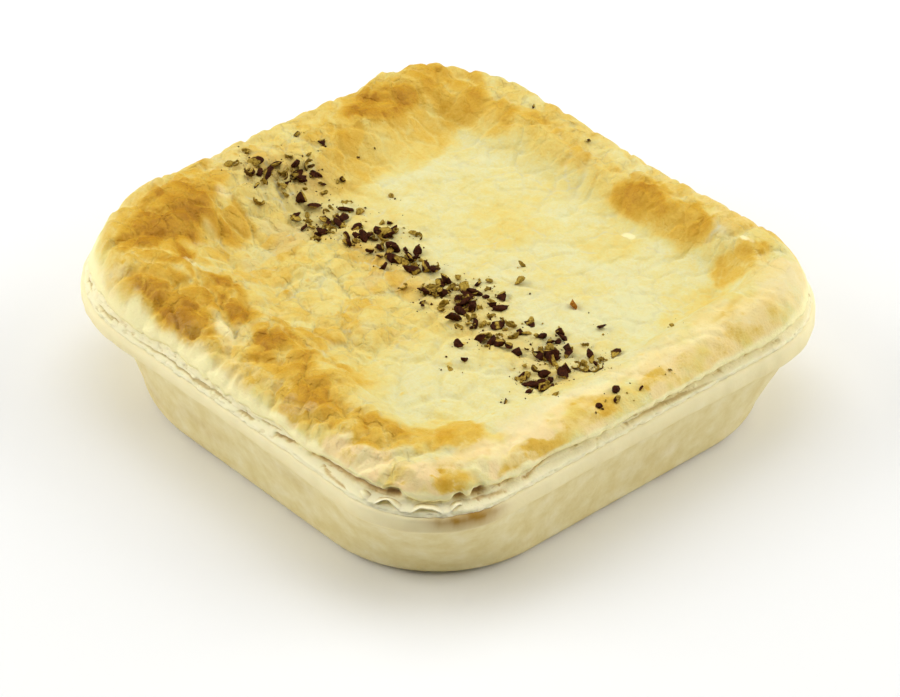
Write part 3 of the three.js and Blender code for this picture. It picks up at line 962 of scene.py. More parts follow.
    def toast(self, x: Array, y: Array) -> Array:
        """How far the surface is toasted, from 0 where it is pale to 1 where it is brown.

        Args:
            x, y: Places along X and Y.

        Returns:
            Levels of toasting.
        """
        brown, inside = self.browning(x, y), FLANGE.inside_by(x, y)
        gap, value = self.form.plates.find(x, y)
        _, small = self.form.scales.find(x, y)
        dome = ease(0, self.dome, gap)
        heat = brown + self.caught_scale * (small - 0.5) + self.caught_plate * (value - 0.5)
        caught = at_least(self.caught_least, ease(*self.caught_at, heat))
        tone = brown * caught * at_least(self.dome_least, dome)
        tone = tone * (self.tone[0] + self.tone[1] * value + self.tone[2] * small)
        mottled = self.mottle.swing(x, y) * (self.mottle_swing[0] + self.mottle_swing[1] * brown)
        level = self.ground(x, y) + tone + mottled + self.dots(x, y)
        level = level * (1 - self.vein_pale * self.veins(x, y))
        lined = ease(*self.halo_from, inside) * (1 - ease(*self.halo_fade, inside))
        lobes = at_station(self.halo, x, y) * lined
        lobe_tone = at_least(self.halo_edge, dome) + self.halo_plate * (value - 0.5)
        level = np.maximum(level, self.halo_toast * lobes * lobe_tone)
        level = level + self.streak_tone * self.form.streaks(x, y) + self.dust_tone * self.peppered(x, y)
        return np.clip(level, 0, self.darkest) * (1 - self.border_pale * self.paling(x, y))

    def bareness(self, x: Array, y: Array) -> Array:
        """How far the pale inside of the leaves shows: on the flaky edge and where the skin wore off.

        Args:
            x, y: Places along X and Y.

        Returns:
            Shares from 0 to 1.
        """
        near = 1 - ease(*self.fleck_fade, FLANGE.inside_by(x, y))
        flecked = ease(*self.fleck_shown, self.fleck.at(x, y)) * near * at_station(self.form.flaky, x, y)
        bare = self.bare_leaf * self.flaking(x, y) + self.bare_border * self.paling(x, y) ** 2
        bare = bare + self.bare_fleck * flecked
        u, v = self.worn_warp.at(x, y)
        least, most = self.worn_tone
        lines = least + (most - least) * self.worn_streak.at(x, y)
        for spot in WORN:
            bare = bare + spot.gain * lines * np.exp(-(spot.away(u, v) ** 2))
        return np.clip(bare, 0, 1)

    def peppered(self, x: Array, y: Array) -> Array:
        """Dust and oil that the pepper left round it.

        Args:
            x, y: Places along X and Y.

        Returns:
            Shares from 0 to 1.
        """
        dust = np.zeros_like(x)
        for drift in DRIFTS:
            dust += np.exp(-Spot(drift.x, drift.y, *self.dust_reach, 1.0).away(x, y))
        return np.minimum(dust, 1)

    def crazing(self, x: Array, y: Array) -> Array:
        """How far the skin cracked into small flakes.

        Args:
            x, y: Places along X and Y.

        Returns:
            Shares from 0 to 1.
        """
        settled = ease(self.craze_from, self.form.rise_width + self.form.settle_past, FLANGE.inside_by(x, y))
        smooth = self.craze_smooth * np.maximum(self.form.calm(x, y), self.form.level_front(x, y))
        return settled * (1 - smooth) * (1 - self.craze_even * self.form.even(x))

    def greyness_and_shade(self, x: Array, y: Array) -> Array:
        """How far the lid is grey: under pepper dust and where dough is thin, and as painted shade in pits
        and creases.

        Args:
            x, y: Places along X and Y.

        Returns:
            Shares from 0 to 1.
        """
        inside = ease(*self.grey_from, FLANGE.inside_by(x, y))
        inside = inside * (1 - ease(*self.grey_brown, self.browning(x, y)))
        inside = inside * (1 - self.grey_front * self.form.level_front(x, y))
        thin = ease(*self.grey_thin_shown, self.grey_thin.at(x, y)) * (1 - self.form.calm(x, y)) * inside
        of_dust, of_thin, of_pit_shade = self.grey_and_shade_tones
        grey = of_dust * self.peppered(x, y) + of_thin * thin + of_pit_shade * self.form.pits(x, y)
        for crease, skin in zip(self.crease_shades, (self.form.plates, self.form.scales)):
            grey = grey + crease.at(skin, x, y) * inside
        return np.clip(grey, 0, 1)


# Meshes and shader nodes.


def mesh_piece(
    name: str, points: Array, faces: list | Array, values: dict[str, Array] | None = None
) -> Piece:
    """Make a smooth mesh object from arrays in millimetres.

    Args:
        name: Name of the piece.
        points: Rows of x, y and z.
        faces: Corner numbers of each face.
        values: Named numbers for every point, which shaders read.

    Returns:
        The new object, linked to the scene.
    """
    mesh = bpy.data.meshes.new(name)
    listed = faces if isinstance(faces, list) else faces.tolist()
    mesh.from_pydata((np.asarray(points) * MM).tolist(), [], listed)
    for key, numbers in (values or {}).items():
        attribute = mesh.attributes.new(key, "FLOAT", "POINT")
        attribute.data.foreach_set("value", np.ascontiguousarray(numbers, np.float32))
    mesh.polygons.foreach_set("use_smooth", np.ones(len(mesh.polygons), bool))
    mesh.update()
    piece = bpy.data.objects.new(name, mesh)
    bpy.context.scene.collection.objects.link(piece)
    return piece


def declare(piece: Piece, finish: Material, slot: Slot, stands_for: Node | None = None) -> None:
    """Give a piece its finish, hang it on the root, and hide the part that it stands for.

    Args:
        piece: The piece, in place.
        finish: Its material.
        slot: Material slot that it takes. Not used.
        stands_for: Part that it replaces, if any.
    """
    piece.data.materials.append(finish)
    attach(piece, ROOT)
    if stands_for is not None:
        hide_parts(stands_for.value)
    log.info("%s: %d faces", piece.name, len(piece.data.polygons))


def band(lower: Array, upper: Array) -> Array:
    """Quads that face out between two closed rings of point numbers, anticlockwise seen from above."""
    return np.column_stack([lower, np.roll(lower, -1), np.roll(upper, -1), upper])


def feed(tree: Tree, node: bpy.types.Node, inputs: dict[str | int, object]) -> None:
    """Set or link the inputs of a shader node.

    Args:
        tree: Node tree that it is in.
        node: The node.
        inputs: For each input, a value or the output socket to link.
    """
    for key, value in inputs.items():
        if isinstance(value, Socket):
            tree.links.new(value, node.inputs[key])
        else:
            node.inputs[key].default_value = value


def add_node(
    tree: Tree,
    kind: str,
    settings: dict[str, object] | None = None,
    inputs: dict[str | int, object] | None = None,
) -> bpy.types.Node:
    """Add a shader node, set it up and link what feeds it.

    Args:
        tree: Node tree to add to.
        kind: Type of the node, without the start that all types share.
        settings: Properties of the node.
        inputs: For each input, a value or the output socket to link.

    Returns:
        The new node.
    """
    node = tree.nodes.new(f"ShaderNode{kind}")
    for key, value in (settings or {}).items():
        setattr(node, key, value)
    feed(tree, node, inputs or {})
    return node


def set_ramp(node: bpy.types.Node, stops: Stops) -> None:
    """Set the stops of a colour ramp.

    Args:
        node: The ramp node.
        stops: Position and sRGB hex colour of each stop.
    """
    elements = node.color_ramp.elements
    while len(elements) < len(stops):
        elements.new(0.5)
    for element, (position, colour) in zip(elements, stops):
        element.position = position
        element.color = linear(colour)


def new_material(name: str) -> tuple[Material, Tree, bpy.types.Node]:
    """Make an empty node material with a surface shader.

    Args:
        name: Name of the material.

    Returns:
        The material, its tree, and the Principled shader that its output is linked to.
    """
    material = bpy.data.materials.new(name)
    material.use_nodes = True
    tree = material.node_tree
    tree.nodes.clear()
    shader = add_node(tree, "BsdfPrincipled")
    add_node(tree, "OutputMaterial", {}, {"Surface": shader.outputs[0]})
    return material, tree, shader


def per_metre(size_mm: float) -> float:
    """Texture scale that gives a pattern of a size in millimetres."""
    return 1 / (size_mm * MM)


# Settings and sockets that the finishes share.
ADD = {"operation": "ADD"}
MULTIPLY = {"operation": "MULTIPLY"}
MULTIPLY_ADD = {"operation": "MULTIPLY_ADD"}
SMOOTH_STEP = {"interpolation_type": "SMOOTHSTEP"}
COLOURS = {"data_type": "RGBA"}
MIX_SHARE, MIX_UNDER, MIX_OVER, MIXED = 0, 6, 7, 2


@dataclass(frozen=True)
class Pattern:
    """A noise pattern of a finish.

    Attributes:
        size_mm: Width of its coarsest lumps.
        detail: Number of finer layers.
        uneven: How strong they are.
    """

    size_mm: float
    detail: float = 3.0
    uneven: float = 0.6

    def inputs(self, place: Socket) -> dict[str, object]:
        """Inputs of the noise texture that draws it."""
        scale = per_metre(self.size_mm)
        return {"Vector": place, "Scale": scale, "Detail": self.detail, "Roughness": self.uneven}


@dataclass(frozen=True)
class Remap:
    """A change of a value from one range to another.

    Attributes:
        low: Where the range starts.
        high: Where it ends.
        start: What the value becomes at its start.
        end: What it becomes at its end.
    """

    low: float
    high: float
    start: float
    end: float

    def inputs(self, value: Socket) -> dict[str, object]:
        """Inputs of the node that makes the change."""
        source = {"Value": value, "From Min": self.low, "From Max": self.high}
        return {**source, "To Min": self.start, "To Max": self.end}


@dataclass(frozen=True)
class Pastry:
    """What light does in baked fat and flour.

    Attributes:
        scatter: Share of the light that enters the surface.
        scatter_mm: How far it travels there, for red, green and blue.
        ior: Refraction.
        gloss: Level of the specular reflection.
    """

    scatter: float
    scatter_mm: Triple
    ior: float = 1.45
    gloss: float = 0.25

    def inputs(self) -> dict[str, object]:
        """Inputs of the surface shader."""
        radius = tuple(v * MM for v in self.scatter_mm)
        inside = {"Subsurface Weight": self.scatter, "Subsurface Radius": radius, "Subsurface Scale": 1.0}
        return {"IOR": self.ior, "Specular IOR Level": self.gloss, **inside}


@dataclass(frozen=True)
class PuffFinish:
    """Puff pastry baked in a hot oven: pale where it sank, golden to brown where it rose."""

    name: str = "puff_pastry_oven_browned"
    # Colour against how far the surface is toasted.
    stops: Stops = (
        (0.0, "E5DFA8"),
        (0.16, "E6D78A"),
        (0.32, "E8CE70"),
        (0.52, "E1B94A"),
        (0.72, "D6A52C"),
        (0.88, "C8931E"),
        (1.0, "B98214"),
    )
    # Colours of bare leaves, thin grey dough that also serves as painted shade in pits, creases and cracks of
    # the edge, dark specks, thin leaves on the front rim, and cracks.
    flake: str = "FFF2B6"
    thin: str = "DCD3A4"
    soot: str = "8A5C16"
    warm: str = "F7DA9E"
    crack: str = "BFAF78"
    # Patterns of blotches, of grain and of where cracks show. Flour is too fine to show in the render,
    # so its grain is drawn coarser.
    mottle: Pattern = Pattern(2.2, detail=4.0)
    grain: Pattern = Pattern(0.45, uneven=0.65)
    patch: Pattern = Pattern(9.0)
    # What blotches, grain and its dark specks add to the toasting.
    blotch_tone: Remap = Remap(0.25, 0.75, -0.09, 0.09)
    grain_tone: Remap = Remap(0.25, 0.75, -0.07, 0.07)
    soot_tone: Remap = Remap(0.60, 0.74, 0.0, 0.25)
    # What shows of the warm colour, of cracks and of bare leaves as the surface changes.
    untoasted: Remap = Remap(0.25, 0.52, 1.0, 0.0)
    unbrowned: Remap = Remap(0.35, 0.6, 0.5, 0.0)
    patch_tone: Remap = Remap(0.44, 0.6, 0.0, 0.75)
    bare: Remap = Remap(0.26, 1.0, 0.0, 1.0)
    bare_grain: float = 0.4
    # Roughness as the toasting rises.
    rough: Remap = Remap(0.1, 0.9, 0.62, 0.5)
    # Large and small flakes of the skin: widths, shares of the relief, tone, lift and worn edge.
    flake_mm: Span = (4.6, 1.9)
    flake_share: Span = (0.68, 0.32)
    flake_tone: float = 0.12
    flake_lift_mm: float = 0.58
    flake_bump: float = 0.7
    edge_mm: float = 0.5
    # Wander of the flakes' edges and its reach, as shares of the flake.
    wander: float = 0.6
    wander_reach: float = 0.8
    # Width of a crack.
    crack_mm: float = 0.3
    # Relief of the grain, and what light does in the pastry.
    grain_lift_mm: float = 0.3
    grain_bump: float = 0.55
    pastry: Pastry = Pastry(0.14, (1.3, 0.8, 0.35))

    def make(self) -> Material:
        """Build the material. Fat in the dough gives a soft sheen, and thin leaves let light in.

        Returns:
            The material.
        """
        material, tree, shader = new_material(self.name)
        place = add_node(tree, "TexCoord").outputs["Object"]
        toast, bareness, grey, blush, craze = (
            add_node(tree, "Attribute", {"attribute_name": name}).outputs["Fac"]
            for name in ("toast", "flake", "grey", "blush", "craze")
        )
        mottle, grain = (
            add_node(tree, "TexNoise", {}, pattern.inputs(place)).outputs["Fac"]
            for pattern in (self.mottle, self.grain)
        )
        blotch, fleck, speck = (
            add_node(tree, "MapRange", {}, tone.inputs(pattern)).outputs[0]
            for tone, pattern in (
                (self.blotch_tone, mottle), (self.grain_tone, grain), (self.soot_tone, grain)
            )
        )
        plate, cracked = self.flakes(tree, place, craze)
        uneven = add_node(tree, "Math", ADD, {0: blotch, 1: fleck}).outputs[0]
        by_flake = {0: plate, 1: self.flake_tone, 2: uneven}
        varied = add_node(tree, "Math", MULTIPLY_ADD, by_flake).outputs[0]
        level = add_node(tree, "Math", ADD, {0: toast, 1: varied}).outputs[0]
        by_grain = {0: grain, 1: self.bare_grain, 2: bareness}
        ragged = add_node(tree, "Math", MULTIPLY_ADD, by_grain).outputs[0]
        untoasted, unbrowned, bare = (
            add_node(tree, "MapRange", SMOOTH_STEP, change.inputs(value)).outputs[0]
            for change, value in ((self.untoasted, level), (self.unbrowned, level), (self.bare, ragged))
        )
        sooty, tinted, faded = (
            add_node(tree, "Math", MULTIPLY, {0: one, 1: other}).outputs[0]
            for one, other in ((speck, toast), (blush, untoasted), (cracked, unbrowned))
        )
        ramp = add_node(tree, "ValToRGB", {}, {"Fac": level})
        set_ramp(ramp, self.stops)
        colour = ramp.outputs["Color"]
        # The grey layer is grey dough and dust, and painted shade in pits, creases and the edge's cracks.
        layers = (
            (sooty, self.soot),
            (tinted, self.warm),
            (grey, self.thin),
            (faded, self.crack),
            (bare, self.flake),
        )
        for share, layer in layers:
            mixed = {MIX_SHARE: share, MIX_UNDER: colour, MIX_OVER: linear(layer)}
            colour = add_node(tree, "Mix", COLOURS, mixed).outputs[MIXED]
        domes = {"Strength": self.flake_bump, "Distance": self.flake_lift_mm * MM, "Height": plate}
        raised = add_node(tree, "Bump", {}, domes).outputs[0]
        lumps = {"Strength": self.grain_bump, "Distance": self.grain_lift_mm * MM, "Height": grain}
        feed(tree, shader, {
            "Base Color": colour,
            "Roughness": add_node(tree, "MapRange", {}, self.rough.inputs(level)).outputs[0],
            **self.pastry.inputs(),
            "Normal": add_node(tree, "Bump", {}, {**lumps, "Normal": raised}).outputs[0],
        })
        return material

    def flakes(self, tree: Tree, place: Socket, craze: Socket) -> tuple[Socket, Socket]:
        """Break the skin into torn flakes of two sizes, with cracks between the larger ones.

        Args:
            tree: Tree of the material.
            place: Places on the lid.
            craze: How far the skin broke there.

        Returns:
            Height of the flakes, and how much of a crack there is at each place.
        """
        heights, gaps = [], []
        for size, share in zip(self.flake_mm, self.flake_share):
            wander = Pattern(size * self.wander, detail=5.0, uneven=0.62).inputs(place)
            shift = add_node(tree, "TexNoise", {}, wander).outputs["Color"]
            reach = size * self.wander_reach * MM
            shifted = {0: shift, 1: (reach, reach, 0.0), 2: place}
            torn = add_node(tree, "VectorMath", MULTIPLY_ADD, shifted).outputs[0]
            flake, away = (
                add_node(
                    tree, "TexVoronoi", {"feature": feature, "voronoi_dimensions": "2D"},
                    {"Vector": torn, "Scale": per_metre(size)},
                ).outputs[output]
                for feature, output in (("F1", "Color"), ("DISTANCE_TO_EDGE", "Distance"))
            )
            worn = Remap(0.0, self.edge_mm / size, 0.0, share).inputs(away)
            edge = add_node(tree, "MapRange", SMOOTH_STEP, worn).outputs[0]
            heights.append(add_node(tree, "Math", MULTIPLY, {0: flake, 1: edge}).outputs[0])
            gaps.append(away)
        stacked = add_node(tree, "Math", ADD, {0: heights[0], 1: heights[1]}).outputs[0]
        patch = add_node(tree, "TexNoise", {}, self.patch.inputs(place)).outputs["Fac"]
        narrow = Remap(0.0, self.crack_mm / self.flake_mm[0], 1.0, 0.0)
        shown, line = (
            add_node(tree, "MapRange", SMOOTH_STEP, change.inputs(value)).outputs[0]
            for change, value in ((self.patch_tone, patch), (narrow, gaps[0]))
        )
        lifted, opened = (
            add_node(tree, "Math", MULTIPLY, {0: value, 1: craze}).outputs[0]
            for value in (stacked, shown)
        )
        cracked = add_node(tree, "Math", MULTIPLY, {0: line, 1: opened}).outputs[0]
        return lifted, cracked


@dataclass(frozen=True)
class ShortcrustFinish:
    """Shortcrust pressed into a tin and baked: smooth, matte and pale, with faint blotches of fat.

    Attributes:
        name: Name of the material.
        stops: Colours of the darker blotches, of most of it and of the fat's lighter streaks.
        lip: Colour of the flange, partly its paler crust and partly painted light on its shaded underside and
            edge.
        stain: Colour where juice and heat browned it.
        blotch: Pattern of the blotches.
        grain: Pattern of the flour's grain, drawn coarser than it is, because it is too fine to show.
        grain_lift_mm, grain_bump: Height of the grain, and its strength.
        rough: Roughness of dry flour.
        pastry: What light does in it.
    """

    name: str = "shortcrust_tin_baked"
    stops: Stops = ((0.34, "E3D194"), (0.52, "EADBA4"), (0.70, "F1E5BA"))
    lip: str = "F9ECBB"
    stain: str = "AE8430"
    blotch: Pattern = Pattern(4.0, detail=5.0)
    grain: Pattern = Pattern(0.7)
    grain_lift_mm: float = 0.2
    grain_bump: float = 0.3
    rough: float = 0.7
    pastry: Pastry = Pastry(0.1, (1.0, 0.7, 0.35))

    def make(self) -> Material:
        """Build the material. The dry flour surface spreads light, so it has almost no gloss.

        Returns:
            The material.
        """
        material, tree, shader = new_material(self.name)
        place = add_node(tree, "TexCoord").outputs["Object"]
        blotch, grain = (
            add_node(tree, "TexNoise", {}, pattern.inputs(place)).outputs["Fac"]
            for pattern in (self.blotch, self.grain)
        )
        tone = add_node(tree, "ValToRGB", {}, {"Fac": blotch})
        set_ramp(tone, self.stops)
        colour = tone.outputs["Color"]
        # The lip colour is partly the flange's paler crust and partly painted light.
        for name, layer in (("flake", self.lip), ("stain", self.stain)):
            share = add_node(tree, "Attribute", {"attribute_name": name}).outputs["Fac"]
            mixed = {MIX_SHARE: share, MIX_UNDER: colour, MIX_OVER: linear(layer)}
            colour = add_node(tree, "Mix", COLOURS, mixed).outputs[MIXED]
        lumps = {"Strength": self.grain_bump, "Distance": self.grain_lift_mm * MM, "Height": grain}
        feed(tree, shader, {
            "Base Color": colour,
            "Roughness": self.rough,
            **self.pastry.inputs(),
            "Normal": add_node(tree, "Bump", {}, lumps).outputs[0],
        })
        return material


@dataclass(frozen=True)
class PepperFinish:
    """Black pepper cracked in a mill: wrinkled near-black skin, tan flesh where it broke.

    Attributes:
        name: Name of the material.
        skin: Colours of the skin in its wrinkles and between them.
        flesh: Colours of the broken flesh.
        wrinkle: Pattern of the wrinkles.
        wrinkle_lift_mm, wrinkle_bump: Height of the wrinkles, and its strength.
        rough: Roughness of dry skin.
        ior: Refraction of dry plant skin.
        gloss: Level of the specular reflection, which dust keeps low.
    """

    name: str = "black_pepper_cracked"
    skin: Stops = ((0.36, "260B01"), (0.72, "522507"))
    flesh: Stops = ((0.32, "785A10"), (0.62, "CCAC48"))
    wrinkle: Pattern = Pattern(0.4)
    wrinkle_lift_mm: float = 0.2
    wrinkle_bump: float = 0.6
    rough: float = 0.65
    ior: float = 1.5
    gloss: float = 0.08

    def make(self) -> Material:
        """Build the material. Skin or flesh is read from the mesh, so one piece shows both.

        Returns:
            The material.
        """
        material, tree, shader = new_material(self.name)
        place = add_node(tree, "TexCoord").outputs["Object"]
        wrinkle = add_node(tree, "TexNoise", {}, self.wrinkle.inputs(place)).outputs["Fac"]
        skin, flesh = (add_node(tree, "ValToRGB", {}, {"Fac": wrinkle}) for _ in range(2))
        set_ramp(skin, self.skin)
        set_ramp(flesh, self.flesh)
        bare = add_node(tree, "Attribute", {"attribute_name": "flesh"}).outputs["Fac"]
        mixed = {MIX_SHARE: bare, MIX_UNDER: skin.outputs["Color"], MIX_OVER: flesh.outputs["Color"]}
        ridges = {"Strength": self.wrinkle_bump, "Distance": self.wrinkle_lift_mm * MM, "Height": wrinkle}
        feed(tree, shader, {
            "Base Color": add_node(tree, "Mix", COLOURS, mixed).outputs[MIXED],
            "Roughness": self.rough,
            "IOR": self.ior,
            "Specular IOR Level": self.gloss,
            "Normal": add_node(tree, "Bump", {}, ridges).outputs[0],
        })
        return material


# Torn leaves that heat hardly reached: paler than the baked skin, with a grey-brown painted shade deep
# between them.
LEAF_FINISH = PuffFinish(name="puff_pastry_torn_leaves", flake="FEF3C6", thin="B9A588")
# A seed that toasted with the lid: dry, warm brown skin with almost no gloss.
SEED_FINISH = PepperFinish(name="seed_oven_toasted", skin=((0.36, "8A4E10"), (0.72, "C98A2C")))


# Pieces of the pie.


# Open gaps under the top sheet at the front corner: x, y and half-width in millimetres.
GAPS = ((43.2, -50.0, 1.5), (52.0, -41.0, 1.1), (53.5, -37.1, 1.4))


def gaping(points: Array, wider: float = 0.0) -> Array:
    """How far the edge is open in its gaps.

    Args:
        points: Places on the flange's outline.
        wider: What is added to the half-width of the gaps.

    Returns:
        Shares from 0 to 1.
    """
    sharpness = 4
    share = np.zeros(len(points))
    for x, y, half_wide in GAPS:
        away = np.hypot(points[:, 0] - x, points[:, 1] - y) / (half_wide + wider)
        share = np.maximum(share, np.exp(-(away**sharpness)))
    return share


@dataclass
class BaseCrust:
    """Shortcrust base with a tapered wall and a flange.

    Attributes:
        points_round: Points on each ring.
        foot_radius: Rounding of the foot, in millimetres.
        underside_z, wall_inset: Height of the flange's underside, and inset of the wall's top.
        cove, lip_radius: Depth of the hollow under the flange, and rounding of the flange's edges.
        seam_inset: How far the seam is inside the flange.
        flange_wobble, wall_wobble: How far the flange and the wall wander in.
        wall_rings: Rings of points up the wall.
        crumbly: How far the flange's edge is nibbled.
        relief, lumps: Height of the wall's lumps, and their number along a side and up it.
        pale: How far the flange's underside, its edge and the seam show the lip's colour, which is partly the
            flange's paler crust and partly painted light on faces that get little light.
        drips: Place, reach and depth of each browned drip.
        drip_flat: Height of a drip against its reach.
        foot_brown, foot_high: How far the foot is browned, and up to which height.
        speckle: Pattern of the browned places.
        speckled: Where in that pattern the foot starts to brown, and browns fully.
    """

    points_round: int = 720
    foot_radius: float = 3
    underside_z: Stations = (16.2, 15.3, 16.0, 16.0, 16.0, 16.4, 17.0, 16.2)
    wall_inset: Stations = (1.5, 2.6, 2.0, 2.0, 2.0, 5.0, 1.5, 1.6)
    cove: float = 0.7
    lip_radius: float = 0.9
    seam_inset: float = 0.9
    flange_wobble: float = 0.35
    wall_wobble: float = 0.3
    wall_rings: int = 24
    crumbly: float = 0.16
    relief: float = 0.22
    lumps: Span = (26, 3.2)
    pale: Triple = (0.5, 0.9, 0.7)
    drips: tuple[tuple[float, float, float, float, float], ...] = (
        (51.4, -38.2, 18.7, 4.6, 1.15),
        (49.2, -42.6, 18.9, 3.4, 0.55),
        (45, -46, 17.0, 2.2, 0.3),
        (18, -51, 12.0, 5.0, 0.18),
        (-8, -50, 8.0, 6.0, 0.2),
        (-24, -47, 5.0, 7.0, 0.22),
        (50, 5, 8.0, 7.0, 0.1),
    )
    drip_flat: float = 0.4
    foot_brown: float = 0.35
    foot_high: float = 2.4
    speckle: Noise = Noise(1.3, 51)
    speckled: Span = (0.35, 0.7)

    def rings(self) -> tuple[list[Array], list[float]]:
        """Lay out the rings of points from the foot to the seam.

        Returns:
            Rings, and for each how much of the flange's pale lip it shows.
        """
        walk = np.arange(self.points_round) * 4 / self.points_round
        edge, out = FLANGE.at(walk)
        foot, foot_out = FOOT.at(walk)
        x, y = edge.T
        under = at_station(self.underside_z, x, y)
        top_inset = at_station(self.wall_inset, x, y)
        wander = self.wall_wobble * loop_noise(walk / 4, 11, 70)
        lip = self.flange_wobble * loop_noise(walk / 4, 11, 71)
        crumb = self.crumbly * (loop_noise(walk / 4, 190, 72) - 0.5)
        rings: list[Array] = []
        pale: list[float] = []

        def put(flat: Array, z: Array | float, share: float) -> None:
            """Add a ring at a height, with its share of the lip's colour."""
            rings.append(np.column_stack([flat, np.broadcast_to(z, len(flat))]))
            pale.append(share)

        for bend in np.linspace(0, math.pi / 2, 9):
            inset = self.foot_radius * (1 - math.sin(bend))
            put(foot - foot_out * inset, self.foot_radius * (1 - math.cos(bend)), 0)
        wall_top = edge - out * top_inset[:, None]
        for share in np.linspace(0, 1, self.wall_rings)[1:]:
            sag = wander * math.sin(math.pi * share)
            up = np.full_like(walk, share * self.lumps[1])
            relief = self.relief * Noise(1.0, 91).swing(walk * self.lumps[0], up)
            flat = foot * (1 - share) + wall_top * share - out * (sag + relief)[:, None]
            put(flat, self.foot_radius + (under - self.cove - self.foot_radius) * share, 0)
        for bend in np.linspace(0, math.pi / 2, 6):
            inset = self.lip_radius * (1 - math.sin(bend)) + lip + crumb
            put(edge - out * inset[:, None], under + self.lip_radius * (1 - math.cos(bend)), self.pale[0])
        for bend in np.linspace(0, math.pi / 2, 6):
            inset = self.seam_inset * (1 - math.cos(bend)) + lip + crumb
            put(edge - out * inset[:, None], SEAM_Z - self.lip_radius * (1 - math.sin(bend)), self.pale[1])
        return rings, pale

    def stains(self, points: Array) -> Array:
        """How far each point browned: in a few drips on the flange and wall, and along the foot.

        Args:
            points: Rows of x, y and z.

        Returns:
            Shares from 0 to 1.
        """
        x, y, z = points.T
        speckle = self.speckle.at(x * 0.7 + y * 0.7, z + 0.3 * y)
        brown = self.foot_brown * (1 - ease(0, self.foot_high, z)) * ease(*self.speckled, speckle)
        for at_x, at_y, at_z, reach, gain in self.drips:
            away = ((x - at_x) ** 2 + (y - at_y) ** 2) / reach**2
            away = away + ((z - at_z) / (self.drip_flat * reach)) ** 2
            brown = brown + gain * np.exp(-away) * (0.5 + speckle)
        return np.clip(brown, 0, 1)

    def build(self, finish: Material) -> None:
        """Build the base and give it its finish.

        Args:
            finish: Shortcrust material.
        """
        rings, pale = self.rings()
        count = self.points_round
        points = np.concatenate([*rings, [[0, 0, 0], [0, 0, SEAM_Z]]])
        number = [np.arange(count) + level * count for level in range(len(rings))]
        faces = np.concatenate([band(a, b) for a, b in zip(number, number[1:])]).tolist()
        bottom, top = len(points) - 2, len(points) - 1
        faces += [[bottom, b, a] for a, b in zip(number[0], np.roll(number[0], -1))]
        faces += [[top, a, b] for a, b in zip(number[-1], np.roll(number[-1], -1))]
        shares = np.concatenate([np.repeat(pale, count), [0, self.pale[2]]])
        values = {"flake": shares, "stain": self.stains(points)}
        piece = mesh_piece("base_crust_wall", points, faces, values)
        declare(piece, finish, Slot.SHORTCRUST, Node.BASE)


